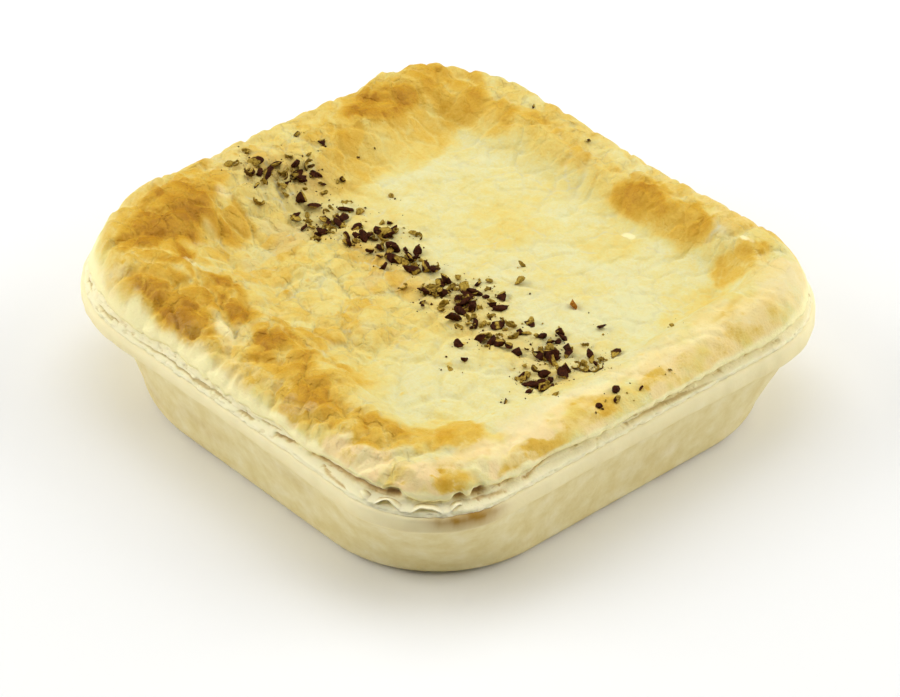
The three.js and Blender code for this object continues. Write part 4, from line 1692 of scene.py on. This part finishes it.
@dataclass
class PuffLid:
    """Puff pastry lid: its baked top sheet over a body that the leaves of the edge surround.

    Attributes:
        form: Surface of the lid.
        bake: How the oven left it.
        cells_across: Cells of the top along each side.
        sheet: Thickness of the top sheet at the edge, in millimetres.
        hollow: How far the body is hollowed under the top sheet.
        ragged: How far the top sheet's edge wanders, as a share of the slope of leaves below it.
        nibbled: How far its finest teeth reach.
        notched: Share of its wander that reaches outward, at each station.
        notch_wider: How much wider its notches are than the gaps under them.
        notch_deep: Depth of the notches.
        ragged_from: Where the wander starts, as a share of the way out.
        inner_toast, inner_bare: How far the body under the top sheet is toasted and bare.
    """

    form: LidForm = LID_FORM
    bake: LidBake = LidBake()
    cells_across: int = 280
    sheet: float = 0.5
    hollow: float = 2.2
    ragged: float = 0.5
    nibbled: float = 0.22
    notched: Stations = (0.7, 0.7, 0.7, 0.7, 0.7, 0.7, 0.7, 0.35)
    notch_wider: float = 0.1
    notch_deep: float = 0.6
    ragged_from: float = 0.95
    inner_toast: float = 0.12
    inner_bare: float = 0.6

    def edge_inset(self, points: Array, round_share: Array) -> Array:
        """How far in the ragged edge of the top sheet is.

        Args:
            points: Places on the flange's outline.
            round_share: The same places, from 0 to 1 round it.

        Returns:
            Insets in millimetres.
        """
        top = at_station(self.form.leaf_top, *points.T)
        foot = at_station(self.form.leaf_foot, *points.T)
        inward = at_station(self.notched, *points.T)
        coarse = self.ragged * (top - foot) * (loop_noise(round_share, 56, 33) - inward)
        fine = self.nibbled * (loop_noise(round_share, 260, 150) - 0.5)
        return top + coarse + fine + self.notch_deep * gaping(points, self.notch_wider)

    def top(self) -> tuple[Array, Array]:
        """Lay out the top as square rings that become the outline.

        Returns:
            Points, and the numbers of those on its outside in the order of the outline.
        """
        half = self.cells_across // 2
        count = np.arange(-half, half + 1)
        u, v = (a.ravel() for a in np.meshgrid(count, count, indexing="ij"))
        ring = np.maximum(np.abs(u), np.abs(v))
        safe = np.maximum(ring, 1)
        walk = np.select(
            [v == -ring, u == ring, v == ring],
            [(u + ring) / (2 * safe), 1 + (v + ring) / (2 * safe), 2 + (ring - u) / (2 * safe)],
            3 + (ring - v) / (2 * safe),
        ) % 4
        edge, out = FLANGE.at(walk)
        even = edge - out * at_station(self.form.leaf_top, *edge.T)[:, None]
        rim = edge - out * self.edge_inset(edge, walk / 4)[:, None]
        part = (ring / half)[:, None]
        flat = even * part + (rim - even) * ease(self.ragged_from, 1, part)
        points = np.column_stack([flat, self.form.height(flat[:, 0], flat[:, 1])])
        number = np.arange(len(u)).reshape(len(count), len(count))
        loop = np.concatenate([number[:-1, 0], number[-1, :-1], number[:0:-1, -1], number[0, :0:-1]])
        return points, loop

    def build_top(self, finish: Material) -> None:
        """Build the lid's body with its baked top.

        Args:
            finish: Puff pastry material.
        """
        points, loop = self.top()
        side = self.cells_across + 1
        number = np.arange(side * side).reshape(side, side)
        corners = [number[:-1, :-1], number[1:, :-1], number[1:, 1:], number[:-1, 1:]]
        faces = [np.column_stack([c.ravel() for c in corners])]
        x, y = points[:, 0], points[:, 1]
        rim = points[loop]
        walk = np.arange(len(loop)) * 4 / len(loop)
        edge, out = FLANGE.at(walk)
        foot = at_station(self.form.leaf_foot, *edge.T) + 2 * self.hollow
        below = rim - np.array([0, 0, self.sheet])
        tucked = np.column_stack([rim[:, :2] - out * self.hollow, rim[:, 2] - self.sheet * 1.3])
        seam = np.column_stack([edge - out * foot[:, None], np.full(len(loop), SEAM_Z)])
        start = len(points)
        rings = [loop] + [start + np.arange(len(loop)) + k * len(loop) for k in range(3)]
        faces += [band(lower, upper) for upper, lower in zip(rings, rings[1:])]
        points = np.concatenate([points, below, tucked, seam, [[0, 0, SEAM_Z]]])
        listed = np.concatenate(faces).tolist()
        listed += [[len(points) - 1, b, a] for a, b in zip(rings[-1], np.roll(rings[-1], -1))]
        hidden = np.ones(3 * len(loop) + 1)
        baked = {
            "toast": (self.bake.toast, self.inner_toast),
            "flake": (self.bake.bareness, self.inner_bare),
            "grey": (self.bake.greyness_and_shade, 0.0),
            "blush": (self.bake.peach, 0.0),
            "craze": (self.bake.crazing, 0.0),
        }
        values = {key: np.concatenate([of(x, y), under * hidden]) for key, (of, under) in baked.items()}
        piece = mesh_piece("puff_lid_top", points, listed, values)
        declare(piece, finish, Slot.PUFF, Node.LID)


@dataclass
class LidEdge:
    """Leaves of the lid's edge: a laminated side with a crack, a ledge and pits.

    Attributes:
        form, sheet: Surface of the lid, and thickness of its top sheet in millimetres.
        points_round, rows: Points along the edge and up the side.
        inner, tuck: Insets of the hidden back, and of the side's top under the top sheet.
        ledge, ledge_at: How far the side is a ledge and not a slope, and the ledge's height as a share.
        crack_at, crack_half, crack_deep: Height and half-height as shares, and depth, of the main crack.
        pocket_at, pocket_half, pocket_deep: The same of the pockets in the gaps.
        pocket_shade_toast: How far the deepest places are darkened to a toasted tan, as painted shade.
        whole: Level of a fine pattern above which a pit opens, at each station.
        leaf_step, leaf_count: How far single leaves stand out or back, and their number.
        crumbly: Height of the crumbs on them.
        hole_deep, hole_shade: Depth, and strength of painted shade, of second crack, grooves between leaves,
            and pits.
        ruffle, ruffle_wave: Height of the lifted leaf's arches, and their number in a side times pi.
        ruffle_walk: Where that leaf is on the outline, and how far it reaches.
        ruffle_points, ruffle_round: Points along it, and rounding of its tip.
        ruffle_root: Inset of its root, and the root's height above the seam.
        ruffle_shade: Painted shade on it, from its root over the tip and back.
    """

    form: LidForm = LID_FORM
    sheet: float = 0.5
    points_round: int = 1800
    rows: int = 27
    inner: float = 7.0
    tuck: float = 0.35
    ledge: Stations = (1.0, 0.9, 0.7, 0.7, 0.6, 0.2, 0.1, 0.6)
    ledge_at: Stations = (0.34, 0.36, 0.4, 0.4, 0.4, 0.3, 0.3, 0.36)
    crack_at: Stations = (0.72, 0.70, 0.66, 0.66, 0.6, 0.45, 0.3, 0.74)
    crack_deep: Stations = (1.5, 1.4, 0.7, 0.7, 0.5, 0.25, 0.25, 1.4)
    crack_half: Stations = (0.26, 0.26, 0.15, 0.15, 0.13, 0.07, 0.06, 0.2)
    pocket_shade_toast: Stations = (0.3, 0.3, 0.3, 0.3, 0.3, 0.3, 0.3, 0.75)
    pocket_at: float = 0.84
    pocket_half: float = 0.2
    pocket_deep: float = 1.6
    whole: Stations = (0.64, 0.68, 0.7, 0.7, 0.62, 0.58, 0.58, 0.78)
    leaf_step: float = 0.34
    crumbly: float = 0.28
    hole_deep: Triple = (0.3, 0.16, 0.14)
    hole_shade: Triple = (0.8, 0.4, 0.5)
    leaf_count: int = 6
    ruffle: float = 1.4
    ruffle_walk: Span = (0.97, 0.12)
    ruffle_wave: float = 44.0
    ruffle_points: int = 170
    ruffle_root: Span = (3.4, 1.0)
    ruffle_round: float = 0.25
    ruffle_shade: tuple[float, ...] = (0.9, 0.1, 0.0, 0.3, 0.9)

    def side_shape(self, walk: Array, share: Array) -> tuple[Array, Array]:
        """Shape the side as insets from the flange's outline.

        Args:
            walk: Places round the outline, one column each.
            share: Heights from 0 at the seam to 1 under the top sheet, one row each.

        Returns:
            Insets in millimetres, and how much painted shade each place gets for lying deep in a crack or
            pit, from 0 to 1.
        """
        loop = walk / 4
        edge, _ = FLANGE.at(walk)
        foot = at_station(self.form.leaf_foot, *edge.T)
        top = at_station(self.form.leaf_top, *edge.T) + self.tuck
        at, deep, half, ledge, ledge_at = (
            at_station(values, *edge.T)
            for values in (self.crack_at, self.crack_deep, self.crack_half, self.ledge, self.ledge_at)
        )
        s = np.broadcast_to(share[:, None], (len(share), len(walk)))
        stepped = ease(ledge_at - 0.12, ledge_at + 0.1, s)
        inset = foot + (top - foot) * (ledge * stepped + (1 - ledge) * s)
        wander = 0.16 * (loop_noise(loop, 90, 31) - 0.5) + 0.1 * (loop_noise(loop, 300, 32) - 0.5)
        steady = 0.6 * ledge
        opened = steady + (1 - steady) * ease(0.42, 0.66, loop_noise(loop, 84, 34))
        crack = opened * np.exp(-(((s - at - wander) / half) ** 2))
        second_at = 0.5 + 0.35 * (loop_noise(loop, 40, 35) - 0.5) * 2
        second = ease(0.55, 0.75, loop_noise(loop, 70, 36)) * np.exp(-(((s - second_at) / 0.06) ** 2))
        lifted = s * self.leaf_count + 0.9 * (loop_noise(loop, 48, 37) - 0.5)
        leaf = np.floor(lifted)
        between = lifted - leaf
        along = np.broadcast_to(loop, s.shape)
        proud = Noise(1.0, 38, 2).swing(along * 150, leaf * 7.3)
        grooved = ease(0.4, 0.6, Noise(1.0, 39, 2).at(along * 110, leaf * 3.1))
        groove = (1 - ease(0.0, 0.16, between)) * grooved
        crumb = Noise(1.0, 42, 4).swing(along * 420, s * 5)
        pits = ease(0.0, 0.12, Noise(1.0, 43).at(along * 360, s * 5) - at_station(self.whole, *edge.T))
        pocket = gaping(edge) * np.exp(-(((s - self.pocket_at) / self.pocket_half) ** 2))
        inset = inset + deep * crack + self.pocket_deep * pocket
        inset = inset - self.leaf_step * proud + self.crumbly * crumb
        # Painted shade of each place, from how deep in a crack, pocket or hole it lies.
        dark = crack + pocket
        for hole, depth, shade in zip((second, groove, pits), self.hole_deep, self.hole_shade):
            inset = inset + depth * hole
            dark = dark + shade * hole
        return inset, np.clip(dark, 0, 1)

    def side(self) -> tuple[Array, Array, Array]:
        """Lay out the side and its hidden back.

        Returns:
            Points, faces, and the painted shade of each point, from how deep in a crack it is.
        """
        count = self.points_round
        walk = np.arange(count) * 4 / count
        edge, out = FLANGE.at(walk)
        share = np.linspace(0, 1, self.rows)
        inset, deep = self.side_shape(walk, share)
        top_z = self.form.edge_z - self.sheet
        z = np.broadcast_to((SEAM_Z + (top_z - SEAM_Z) * share)[:, None], inset.shape)
        z = z + 0.12 * np.sin(math.pi * share)[:, None] * (loop_noise(walk / 4, 120, 45) - 0.5)
        rings = [np.column_stack([edge - out * inset[k][:, None], z[k]]) for k in range(self.rows)]
        back = edge - out * self.inner
        rings.append(np.column_stack([back, np.full(count, top_z)]))
        rings.append(np.column_stack([back, np.full(count, SEAM_Z)]))
        levels = len(rings)
        number = np.arange(levels * count).reshape(levels, count)
        faces = [band(number[k], number[(k + 1) % levels]) for k in range(levels)]
        shade = np.concatenate([deep.ravel(), np.ones(2 * count)])
        return np.concatenate(rings), np.concatenate(faces), shade

    def lifted_leaf(self) -> tuple[Array, list, Array]:
        """Lay out the leaf that stands off in arches at the front corner.

        Returns:
            Points, faces, and the painted shade of each point, darkest at its root.
        """
        middle, reach = self.ruffle_walk
        walk = np.linspace(middle - reach, middle + reach, self.ruffle_points)
        edge, out = FLANGE.at(walk)
        along = (walk - middle) / reach
        fade = 1 - ease(0.7, 1.0, np.abs(along))
        uneven = 0.6 + 0.8 * loop_noise(along * 0.5 + 0.5, 9, 46)
        arch = self.ruffle * uneven * np.abs(np.sin((walk - middle) * self.ruffle_wave)) ** 1.3
        tip = 1.0 - 0.3 * loop_noise(along * 0.5 + 0.5, 23, 47) + 0.35 * arch + 0.9 * (1 - fade)
        z = SEAM_Z + 0.2 + arch * fade
        half = 0.1 + 0.05 * loop_noise(along * 0.5 + 0.5, 15, 48)
        root, root_z = self.ruffle_root
        rooted = np.full_like(walk, root)
        outline = [
            (rooted, SEAM_Z + root_z + half),
            (tip + self.ruffle_round, z + half),
            (tip, z),
            (tip + self.ruffle_round, z - half),
            (rooted, SEAM_Z + root_z - half),
        ]
        rings = np.stack(
            [np.column_stack([edge - out * inset[:, None], height]) for inset, height in outline]
        )
        levels, count = rings.shape[:2]
        number = np.arange(levels * count).reshape(levels, count)
        faces = []
        for k in range(levels):
            lower, upper = number[(k + 1) % levels], number[k]
            faces += np.column_stack([lower[:-1], lower[1:], upper[1:], upper[:-1]]).tolist()
        faces += [number[::-1, 0].tolist(), number[:, -1].tolist()]
        # Painted shade, darkest at the root under the arches.
        shade = np.repeat(self.ruffle_shade, count)
        return rings.reshape(-1, 3), faces, shade

    def build(self, finish: Material) -> None:
        """Build the edge as one piece.

        Args:
            finish: Puff pastry material.
        """
        side, side_faces, side_shade = self.side()
        leaf, leaf_faces, leaf_shade = self.lifted_leaf()
        faces = side_faces.tolist() + [[corner + len(side) for corner in f] for f in leaf_faces]
        points = np.concatenate([side, leaf])
        shade = np.concatenate([side_shade, leaf_shade])
        # Painted shade: deep places and the hidden back are painted a toasted tan, less bare and grey.
        pocket = at_station(self.pocket_shade_toast, *points[:, :2].T)
        values = {
            "toast": 0.05 + pocket * shade,
            "flake": np.clip(0.9 - 0.8 * shade, 0, 1),
            "grey": 0.6 * shade,
        }
        piece = mesh_piece("puff_lid_leaves", points, faces, values)
        declare(piece, finish, Slot.PUFF)


@dataclass
class Crumb:
    """One piece of pepper.

    Attributes:
        x, y: Where it lies, in millimetres.
        size: Its length.
        shape: Length, width and thickness against its size.
        turn: Angles about X, Y and Z.
        index: Its number, which picks how it broke.
        kind: What it is a piece of.
        ground: Height of the lid under it.
    """

    x: float
    y: float
    size: float
    shape: Triple
    turn: Triple
    index: int
    kind: Grain
    ground: float = 0.0


@dataclass
class Pepper:
    """Cracked black pepper strewn across the lid.

    Attributes:
        form: Surface that it lies on.
        drifts: Places where it fell thick.
        strays: Place and size of single pieces that stand out, and the kind of those that aren't husk.
        seed: Start of the draws.
        size: Smallest and largest piece, in millimetres.
        bias: How much commoner small pieces are.
        width, thickness: Least and greatest width and thickness against length.
        tilt: Share of a full turn that a piece may lean.
        seed_shape: Length, width and thickness of the toasted seed against its size.
        sunk: How deep a piece sits in the lid, against its size.
        whole_husk: Length above which a piece is husk.
        mix: Share of the rest that is husk, and that is husk or shell.
        cuts: Broken faces of a chunk.
        spread: Reach of a drift's pieces and of its chips, in its spreads.
        chips: Number of small chips for each piece in a drift.
        chip_size: Smallest and largest of them, in millimetres.
        chip_shells: Share of the chips that are bits of shell.
    """

    form: LidForm = LID_FORM
    drifts: tuple[Drift, ...] = DRIFTS
    strays: tuple[tuple, ...] = (
        (-42, -8.5, 2.8), (-39, 6, 2.5), (-43.5, 3.5, 1.8), (-32, 4.8, 2.3), (-35, 11, 1.1), (-34.5, 0, 2),
        (-36.5, -11.5, 1.6), (-34, -12.8, 2.4, Grain.SHELL), (-26, -9.5, 2), (-23.5, 9, 1.6, Grain.KERNEL),
        (-27.5, 2, 2.2, Grain.SHELL), (-17.5, 3.3, 1.8), (-12, 4, 2.2, Grain.KERNEL), (-16.5, -7, 2.9),
        (-12, -3.5, 2.6), (-7, -3.4, 3), (-2, -1.8, 3.6), (-24, 44, 1.4), (-9, 44, 2.4), (7, 2.8, 2.2),
        (8, 12, 2, Grain.KERNEL), (11.5, 8.3, 2.8, Grain.KERNEL), (13, -8.6, 3.6), (16, -6, 2.4),
        (19, -12.7, 2.6), (23, -14.5, 2.2), (23, -18, 1.6, Grain.KERNEL), (23, 10.5, 2.6, Grain.SEED),
        (27, -6, 2.8), (29, 2.8, 2.2), (31, 9.7, 2.3), (33, 0, 2.6), (36, 2.5, 3.1), (37, -5, 3.4),
        (37, -12.5, 1.8), (36, -17, 1.8), (40, 18, 1.5, Grain.KERNEL), (48, -3, 2.5), (49, -8, 2),
        (50, 1, 1.6), (50, -4.5, 1.6), (49.8, 8, 1),
    )
    seed: int = 41
    size: Span = (1.5, 3.7)
    bias: float = 1.5
    width: Span = (0.5, 0.85)
    thickness: Span = (0.3, 0.55)
    tilt: float = 0.2
    seed_shape: Triple = (1.0, 0.85, 0.75)
    chips: float = 0.5
    chip_size: Span = (0.9, 2.0)
    chip_shells: float = 0.6
    sunk: float = 0.08
    whole_husk: float = 2.7
    mix: Span = (0.42, 0.76)
    cuts: int = 7
    spread: Span = (2, 2.4)

    def crumbs(self) -> list[Crumb]:
        """Draw every piece in one fixed order.

        Returns:
            All pieces, the strays last.
        """
        draws = draws_from(self.seed)
        found: list[Crumb] = []

        def bell() -> float:
            """Draw from a bell curve about zero."""
            return next(draws) + next(draws) + next(draws) - 1.5

        def add(x: float, y: float, size: float, kind: Grain | None) -> None:
            """Draw how a piece is shaped and turned, and add it.

            Args:
                x, y: Where it lies.
                size: Its length.
                kind: What it is, if its size and number don't say.
            """
            thin = [low + (high - low) * next(draws) for low, high in (self.width, self.thickness)]
            turn = tuple((next(draws) - 0.5) * 2 * math.pi for _ in range(3))
            index = len(found)
            found.append(Crumb(x, y, size, (1, *thin), turn, index, kind or self.kind_of(index, size)))

        for drift in self.drifts:
            for _ in range(drift.pieces):
                x = drift.x + bell() * self.spread[0] * drift.spread_x
                y = drift.y + bell() * self.spread[0] * drift.spread_y
                add(x, y, self.size[0] + (self.size[1] - self.size[0]) * next(draws) ** self.bias, None)
        for x, y, size, *kind in self.strays:
            add(x, y, size, *(kind or [Grain.HUSK]))
        for drift in self.drifts:
            for _ in range(round(drift.pieces * self.chips)):
                x = drift.x + bell() * self.spread[1] * drift.spread_x
                y = drift.y + bell() * self.spread[1] * drift.spread_y
                size = self.chip_size[0] + (self.chip_size[1] - self.chip_size[0]) * next(draws)
                add(x, y, size, Grain.SHELL if next(draws) < self.chip_shells else Grain.KERNEL)
        places = np.array([(crumb.x, crumb.y) for crumb in found], float)
        for crumb, ground in zip(found, self.form.height(*places.T)):
            crumb.ground = float(ground)
        return found

    def kind_of(self, index: int, size: float) -> Grain:
        """Pick what a piece is: the largest are husk, and the rest is mixed.

        Args:
            index: Its number.
            size: Its length, in millimetres.

        Returns:
            Its kind.
        """
        husks, husks_and_shells = self.mix
        chance = float(scatter_hash(index, 5, 300))
        if size > self.whole_husk or chance < husks:
            return Grain.HUSK
        return Grain.SHELL if chance < husks_and_shells else Grain.KERNEL

    def lump(self, crumb: Crumb) -> tuple[Array, list, Array]:
        """Shape a chunk of husk or kernel: an angular lump with broken faces.

        Args:
            crumb: The piece.

        Returns:
            Points about its middle, faces, and how much flesh each point shows.
        """
        ball = bmesh.new()
        bmesh.ops.create_icosphere(ball, subdivisions=3, radius=0.5)
        points = np.array([v.co[:] for v in ball.verts])
        faces = [[v.index for v in f.verts] for f in ball.faces]
        ball.free()
        flesh = np.zeros(len(points))
        pale = 1.0 if crumb.kind is Grain.KERNEL else 0.0
        for cut in range(self.cuts):
            a = scatter_hash(crumb.index, cut, 310) * 2 * math.pi
            h = scatter_hash(crumb.index, cut, 311) * 2 - 1
            flat = math.sqrt(max(0.0, 1 - h * h))
            way = np.array([flat * math.cos(a), flat * math.sin(a), h])
            depth = 0.16 + 0.2 * float(scatter_hash(crumb.index, cut, 312))
            past = np.maximum(0, points @ way - depth)
            points = points - past[:, None] * way
            bare = scatter_hash(crumb.index, cut, 313) < 0.22 + 0.5 * pale
            flesh = np.where(past > 0, float(bare) * 0.9, flesh)
        rough = 1 + 0.16 * (scatter_hash(np.arange(len(points)), crumb.index, 314) - 0.5)
        shape = self.seed_shape if crumb.kind is Grain.SEED else crumb.shape
        points = points * rough[:, None] * np.array(shape)
        return points * crumb.size, faces, np.maximum(flesh, 0.75 * pale)

    def shell(self, crumb: Crumb) -> tuple[Array, list, Array]:
        """Shape a broken hull: an open curl of a hollow ball, dark outside and tan inside.

        Args:
            crumb: The piece.

        Returns:
            Points about its middle, faces, and how much flesh each point shows.
        """
        rings, spokes = 6, 26
        share = np.linspace(0, 1, spokes)
        span = 2 * math.pi * (0.5 + 0.36 * float(scatter_hash(crumb.index, 0, 322)))
        turn = span * share
        low = 0.5 + 0.35 * loop_noise(share * 0.9, 7, 520 + crumb.index)
        high = 1.35 + 0.4 * loop_noise(share * 0.9, 9, 320 + crumb.index)
        pinch = 0.25 + 0.75 * np.sin(math.pi * np.clip(share, 0.06, 0.94)) ** 0.5
        middle, half = (low + high) / 2, pinch * (high - low) / 2
        layers, tones = [], []
        skin = 0.12 if scatter_hash(crumb.index, 1, 322) < 0.5 else 0.62
        for radius, tone, way in ((0.5, skin, 1), (0.4, 0.9, -1)):
            for ring in np.linspace(-way, way, rings):
                polar = middle + half * ring
                flat = radius * np.sin(polar)
                curl = [flat * np.cos(turn), 0.8 * flat * np.sin(turn), -radius * np.cos(polar)]
                layers.append(np.column_stack(curl))
                tones.append(np.full(spokes, tone))
        points = np.concatenate(layers)
        number = np.arange(len(points)).reshape(2 * rings, spokes)
        around = np.roll(number, -1, axis=0)
        sides = [number[:, :-1], number[:, 1:], around[:, 1:], around[:, :-1]]
        faces = np.column_stack([side.ravel() for side in sides]).tolist()
        faces += [number[:, 0].tolist(), number[::-1, -1].tolist()]
        wrinkle = 1 + 0.14 * (scatter_hash(np.arange(len(points)), crumb.index, 321) - 0.5)
        return points * wrinkle[:, None] * crumb.size, faces, np.concatenate(tones)

    def pose(self, crumb: Crumb, points: Array) -> Array:
        """Turn a piece and set it down on the lid.

        Args:
            crumb: The piece.
            points: Its points about its middle.

        Returns:
            Points in the pie's frame.
        """
        rx, ry, rz = (angle * share for angle, share in zip(crumb.turn, (self.tilt, self.tilt, 1.0)))
        turn = Matrix.Rotation(rz, 3, "Z") @ Matrix.Rotation(ry, 3, "Y") @ Matrix.Rotation(rx, 3, "X")
        turned = points @ np.array(turn.transposed())
        lowest = turned[:, 2].min()
        return turned + np.array([crumb.x, crumb.y, crumb.ground - lowest - self.sunk * crumb.size])

    def build(self, finish: Material, seed_finish: Material) -> None:
        """Build one piece for each kind of pepper.

        Args:
            finish: Pepper material.
            seed_finish: Material of the toasted seed.
        """
        makers: dict[Grain, Callable[[Crumb], tuple[Array, list, Array]]] = {
            Grain.HUSK: self.lump,
            Grain.SHELL: self.shell,
            Grain.KERNEL: self.lump,
            Grain.SEED: self.lump,
        }
        crumbs = self.crumbs()
        for kind, maker in makers.items():
            points, faces, flesh, start = [], [], [], 0
            for crumb in (c for c in crumbs if c.kind is kind):
                shape, sides, tone = maker(crumb)
                points.append(self.pose(crumb, shape))
                faces += [[corner + start for corner in side] for side in sides]
                flesh.append(tone)
                start += len(shape)
            values = {"flesh": np.concatenate(flesh)}
            piece = mesh_piece(f"pepper_{kind.value}s", np.concatenate(points), faces, values)
            declare(piece, seed_finish if kind is Grain.SEED else finish, Slot.PUFF)
        self.build_dust(finish, crumbs)

    def build_dust(self, finish: Material, crumbs: list[Crumb]) -> None:
        """Build the fine specks that lie round the larger pieces.

        Args:
            finish: Pepper material.
            crumbs: The larger pieces.
        """
        corners = np.array([[1, 0, 0], [-1, 0, 0], [0, 1, 0], [0, -1, 0], [0, 0, 1], [0, 0, -1]], float)
        upper = [[0, 2, 4], [2, 1, 4], [1, 3, 4], [3, 0, 4]]
        sides = np.array(upper + [[2, 0, 5], [1, 2, 5], [3, 1, 5], [0, 3, 5]])
        points, faces, flesh, places = [], [], [], []
        for crumb in crumbs:
            for speck in range(3):
                draw = [float(scatter_hash(crumb.index, speck * 10 + k, 400)) for k in range(7)]
                size = 0.16 + 0.5 * draw[0] ** 3
                angle, far = draw[1] * 2 * math.pi, 0.8 + 3.4 * draw[2] ** 2
                x, y = crumb.x + far * math.cos(angle), crumb.y + far * math.sin(angle)
                shape = corners * size / 2 * np.array([1, 0.5 + 0.5 * draw[3], 0.5 + 0.4 * draw[4]])
                turned = shape @ np.array(Matrix.Rotation(draw[5] * 2 * math.pi, 3, (0.4, 0.5, 0.77)))
                faces += (sides + len(points) * len(corners)).tolist()
                points.append(turned + np.array([x, y, size * 0.2]))
                places.append((x, y))
                flesh.append(np.full(len(corners), 0.9 if draw[6] < 0.45 else 0.1))
        ground = np.repeat(self.form.height(*np.array(places, float).T), len(corners))
        specks = np.concatenate(points)
        specks[:, 2] += ground
        piece = mesh_piece("pepper_dust", specks, faces, {"flesh": np.concatenate(flesh)})
        declare(piece, finish, Slot.PUFF)


# Studio.


@dataclass(frozen=True)
class SoftBox:
    """A square lamp that shines at the pie.

    Attributes:
        name: Name of the lamp.
        at: Place, in metres.
        size: Width, in metres.
        power: Power, in watts.
    """

    name: str
    at: Triple
    size: float
    power: float

    def build(self) -> None:
        """Hang the lamp."""
        light = bpy.data.lights.new(self.name, "AREA")
        light.size = self.size
        light.energy = self.power
        lamp = bpy.data.objects.new(self.name, light)
        lamp.location = self.at
        lamp.rotation_euler = (-Vector(self.at)).to_track_quat("-Z", "Y").to_euler()
        bpy.context.scene.collection.objects.link(lamp)


@dataclass(frozen=True)
class Studio:
    """Pale floor, a tent of soft light and the photo's view.

    Attributes:
        eye: Place of the camera, in millimetres.
        right, up, back: Its right-hand and upward directions, and that from the pie to it.
        lens: Focal length for a sensor of the given width.
        sensor: Width of the sensor.
        clip: Nearest and farthest distance that is seen, in metres.
        floor_half: Half-width of the floor, in metres.
        floor: Colour of the floor.
        tent: Colour of the light from all round.
        ambient: Strength of that light.
        lamps: Soft boxes, which stand above and at both sides of the view.
    """

    eye: Triple = (463.51, -407.75, 454.36)
    right: Triple = (0.6626, 0.7490, 0.0)
    up: Triple = (-0.4403, 0.3895, 0.8090)
    back: Triple = (0.6059, -0.5360, 0.5879)
    lens: float = 171.76
    sensor: float = 36.0
    clip: Span = (0.01, 20)
    floor_half: float = 4.0
    floor: str = "F6F6F4"
    tent: str = "FFFFFF"
    ambient: float = 0.11
    lamps: tuple[SoftBox, ...] = (
        SoftBox("soft_box_above", (-0.15, 0.13, 0.85), 0.8, 4.05),
        SoftBox("soft_box_left", (-0.53, -0.60, 0.47), 0.7, 5.2),
        SoftBox("soft_box_right", (0.53, 0.60, 0.47), 0.7, 4.7),
        SoftBox("soft_box_left_back", (-0.80, -0.10, 0.47), 0.7, 1.0),
        SoftBox("soft_box_right_back", (0.10, 0.80, 0.47), 0.7, 1.35),
    )

    def build_floor(self) -> None:
        """Lay the floor."""
        material, tree, shader = new_material("paper_backdrop_matte")
        feed(tree, shader, {"Base Color": linear(self.floor), "Roughness": 0.9, "Specular IOR Level": 0.1})
        half = self.floor_half / MM
        corners = [[-half, -half, 0], [half, -half, 0], [half, half, 0], [-half, half, 0]]
        floor = mesh_piece("floor", np.array(corners), [[0, 1, 2, 3]])
        floor.data.materials.append(material)

    def build_light(self) -> None:
        """Fill the tent with light and hang the soft boxes."""
        world = bpy.data.worlds.new("soft_tent")
        world.use_nodes = True
        background = world.node_tree.nodes["Background"]
        background.inputs["Color"].default_value = linear(self.tent)
        background.inputs["Strength"].default_value = self.ambient
        bpy.context.scene.world = world
        for lamp in self.lamps:
            lamp.build()

    def build_camera(self) -> None:
        """Set up the camera at the photo's place."""
        scene = bpy.context.scene
        lens = bpy.data.cameras.new("camera")
        lens.lens = self.lens
        lens.sensor_width = self.sensor
        lens.sensor_fit = "HORIZONTAL"
        lens.clip_start, lens.clip_end = self.clip
        camera = bpy.data.objects.new("camera", lens)
        turn = Matrix([self.right, self.up, self.back]).transposed()
        camera.matrix_world = Matrix.Translation(Vector(self.eye) * MM) @ turn.to_4x4()
        scene.collection.objects.link(camera)
        scene.camera = camera
        scene.view_settings.view_transform = "Standard"

    def build(self) -> None:
        """Build the whole studio."""
        self.build_floor()
        self.build_light()
        self.build_camera()


def main() -> None:
    """Build the pie piece by piece, then the studio, and note the sizes."""
    logging.basicConfig(level=logging.INFO, format="%(name)s %(message)s")
    BaseCrust().build(ShortcrustFinish().make())
    PuffLid().build_top(PuffFinish().make())
    LidEdge().build(LEAF_FINISH.make())
    Pepper().build(PepperFinish().make(), SEED_FINISH.make())
    Studio().build()


if __name__ == "__main__":
    main()
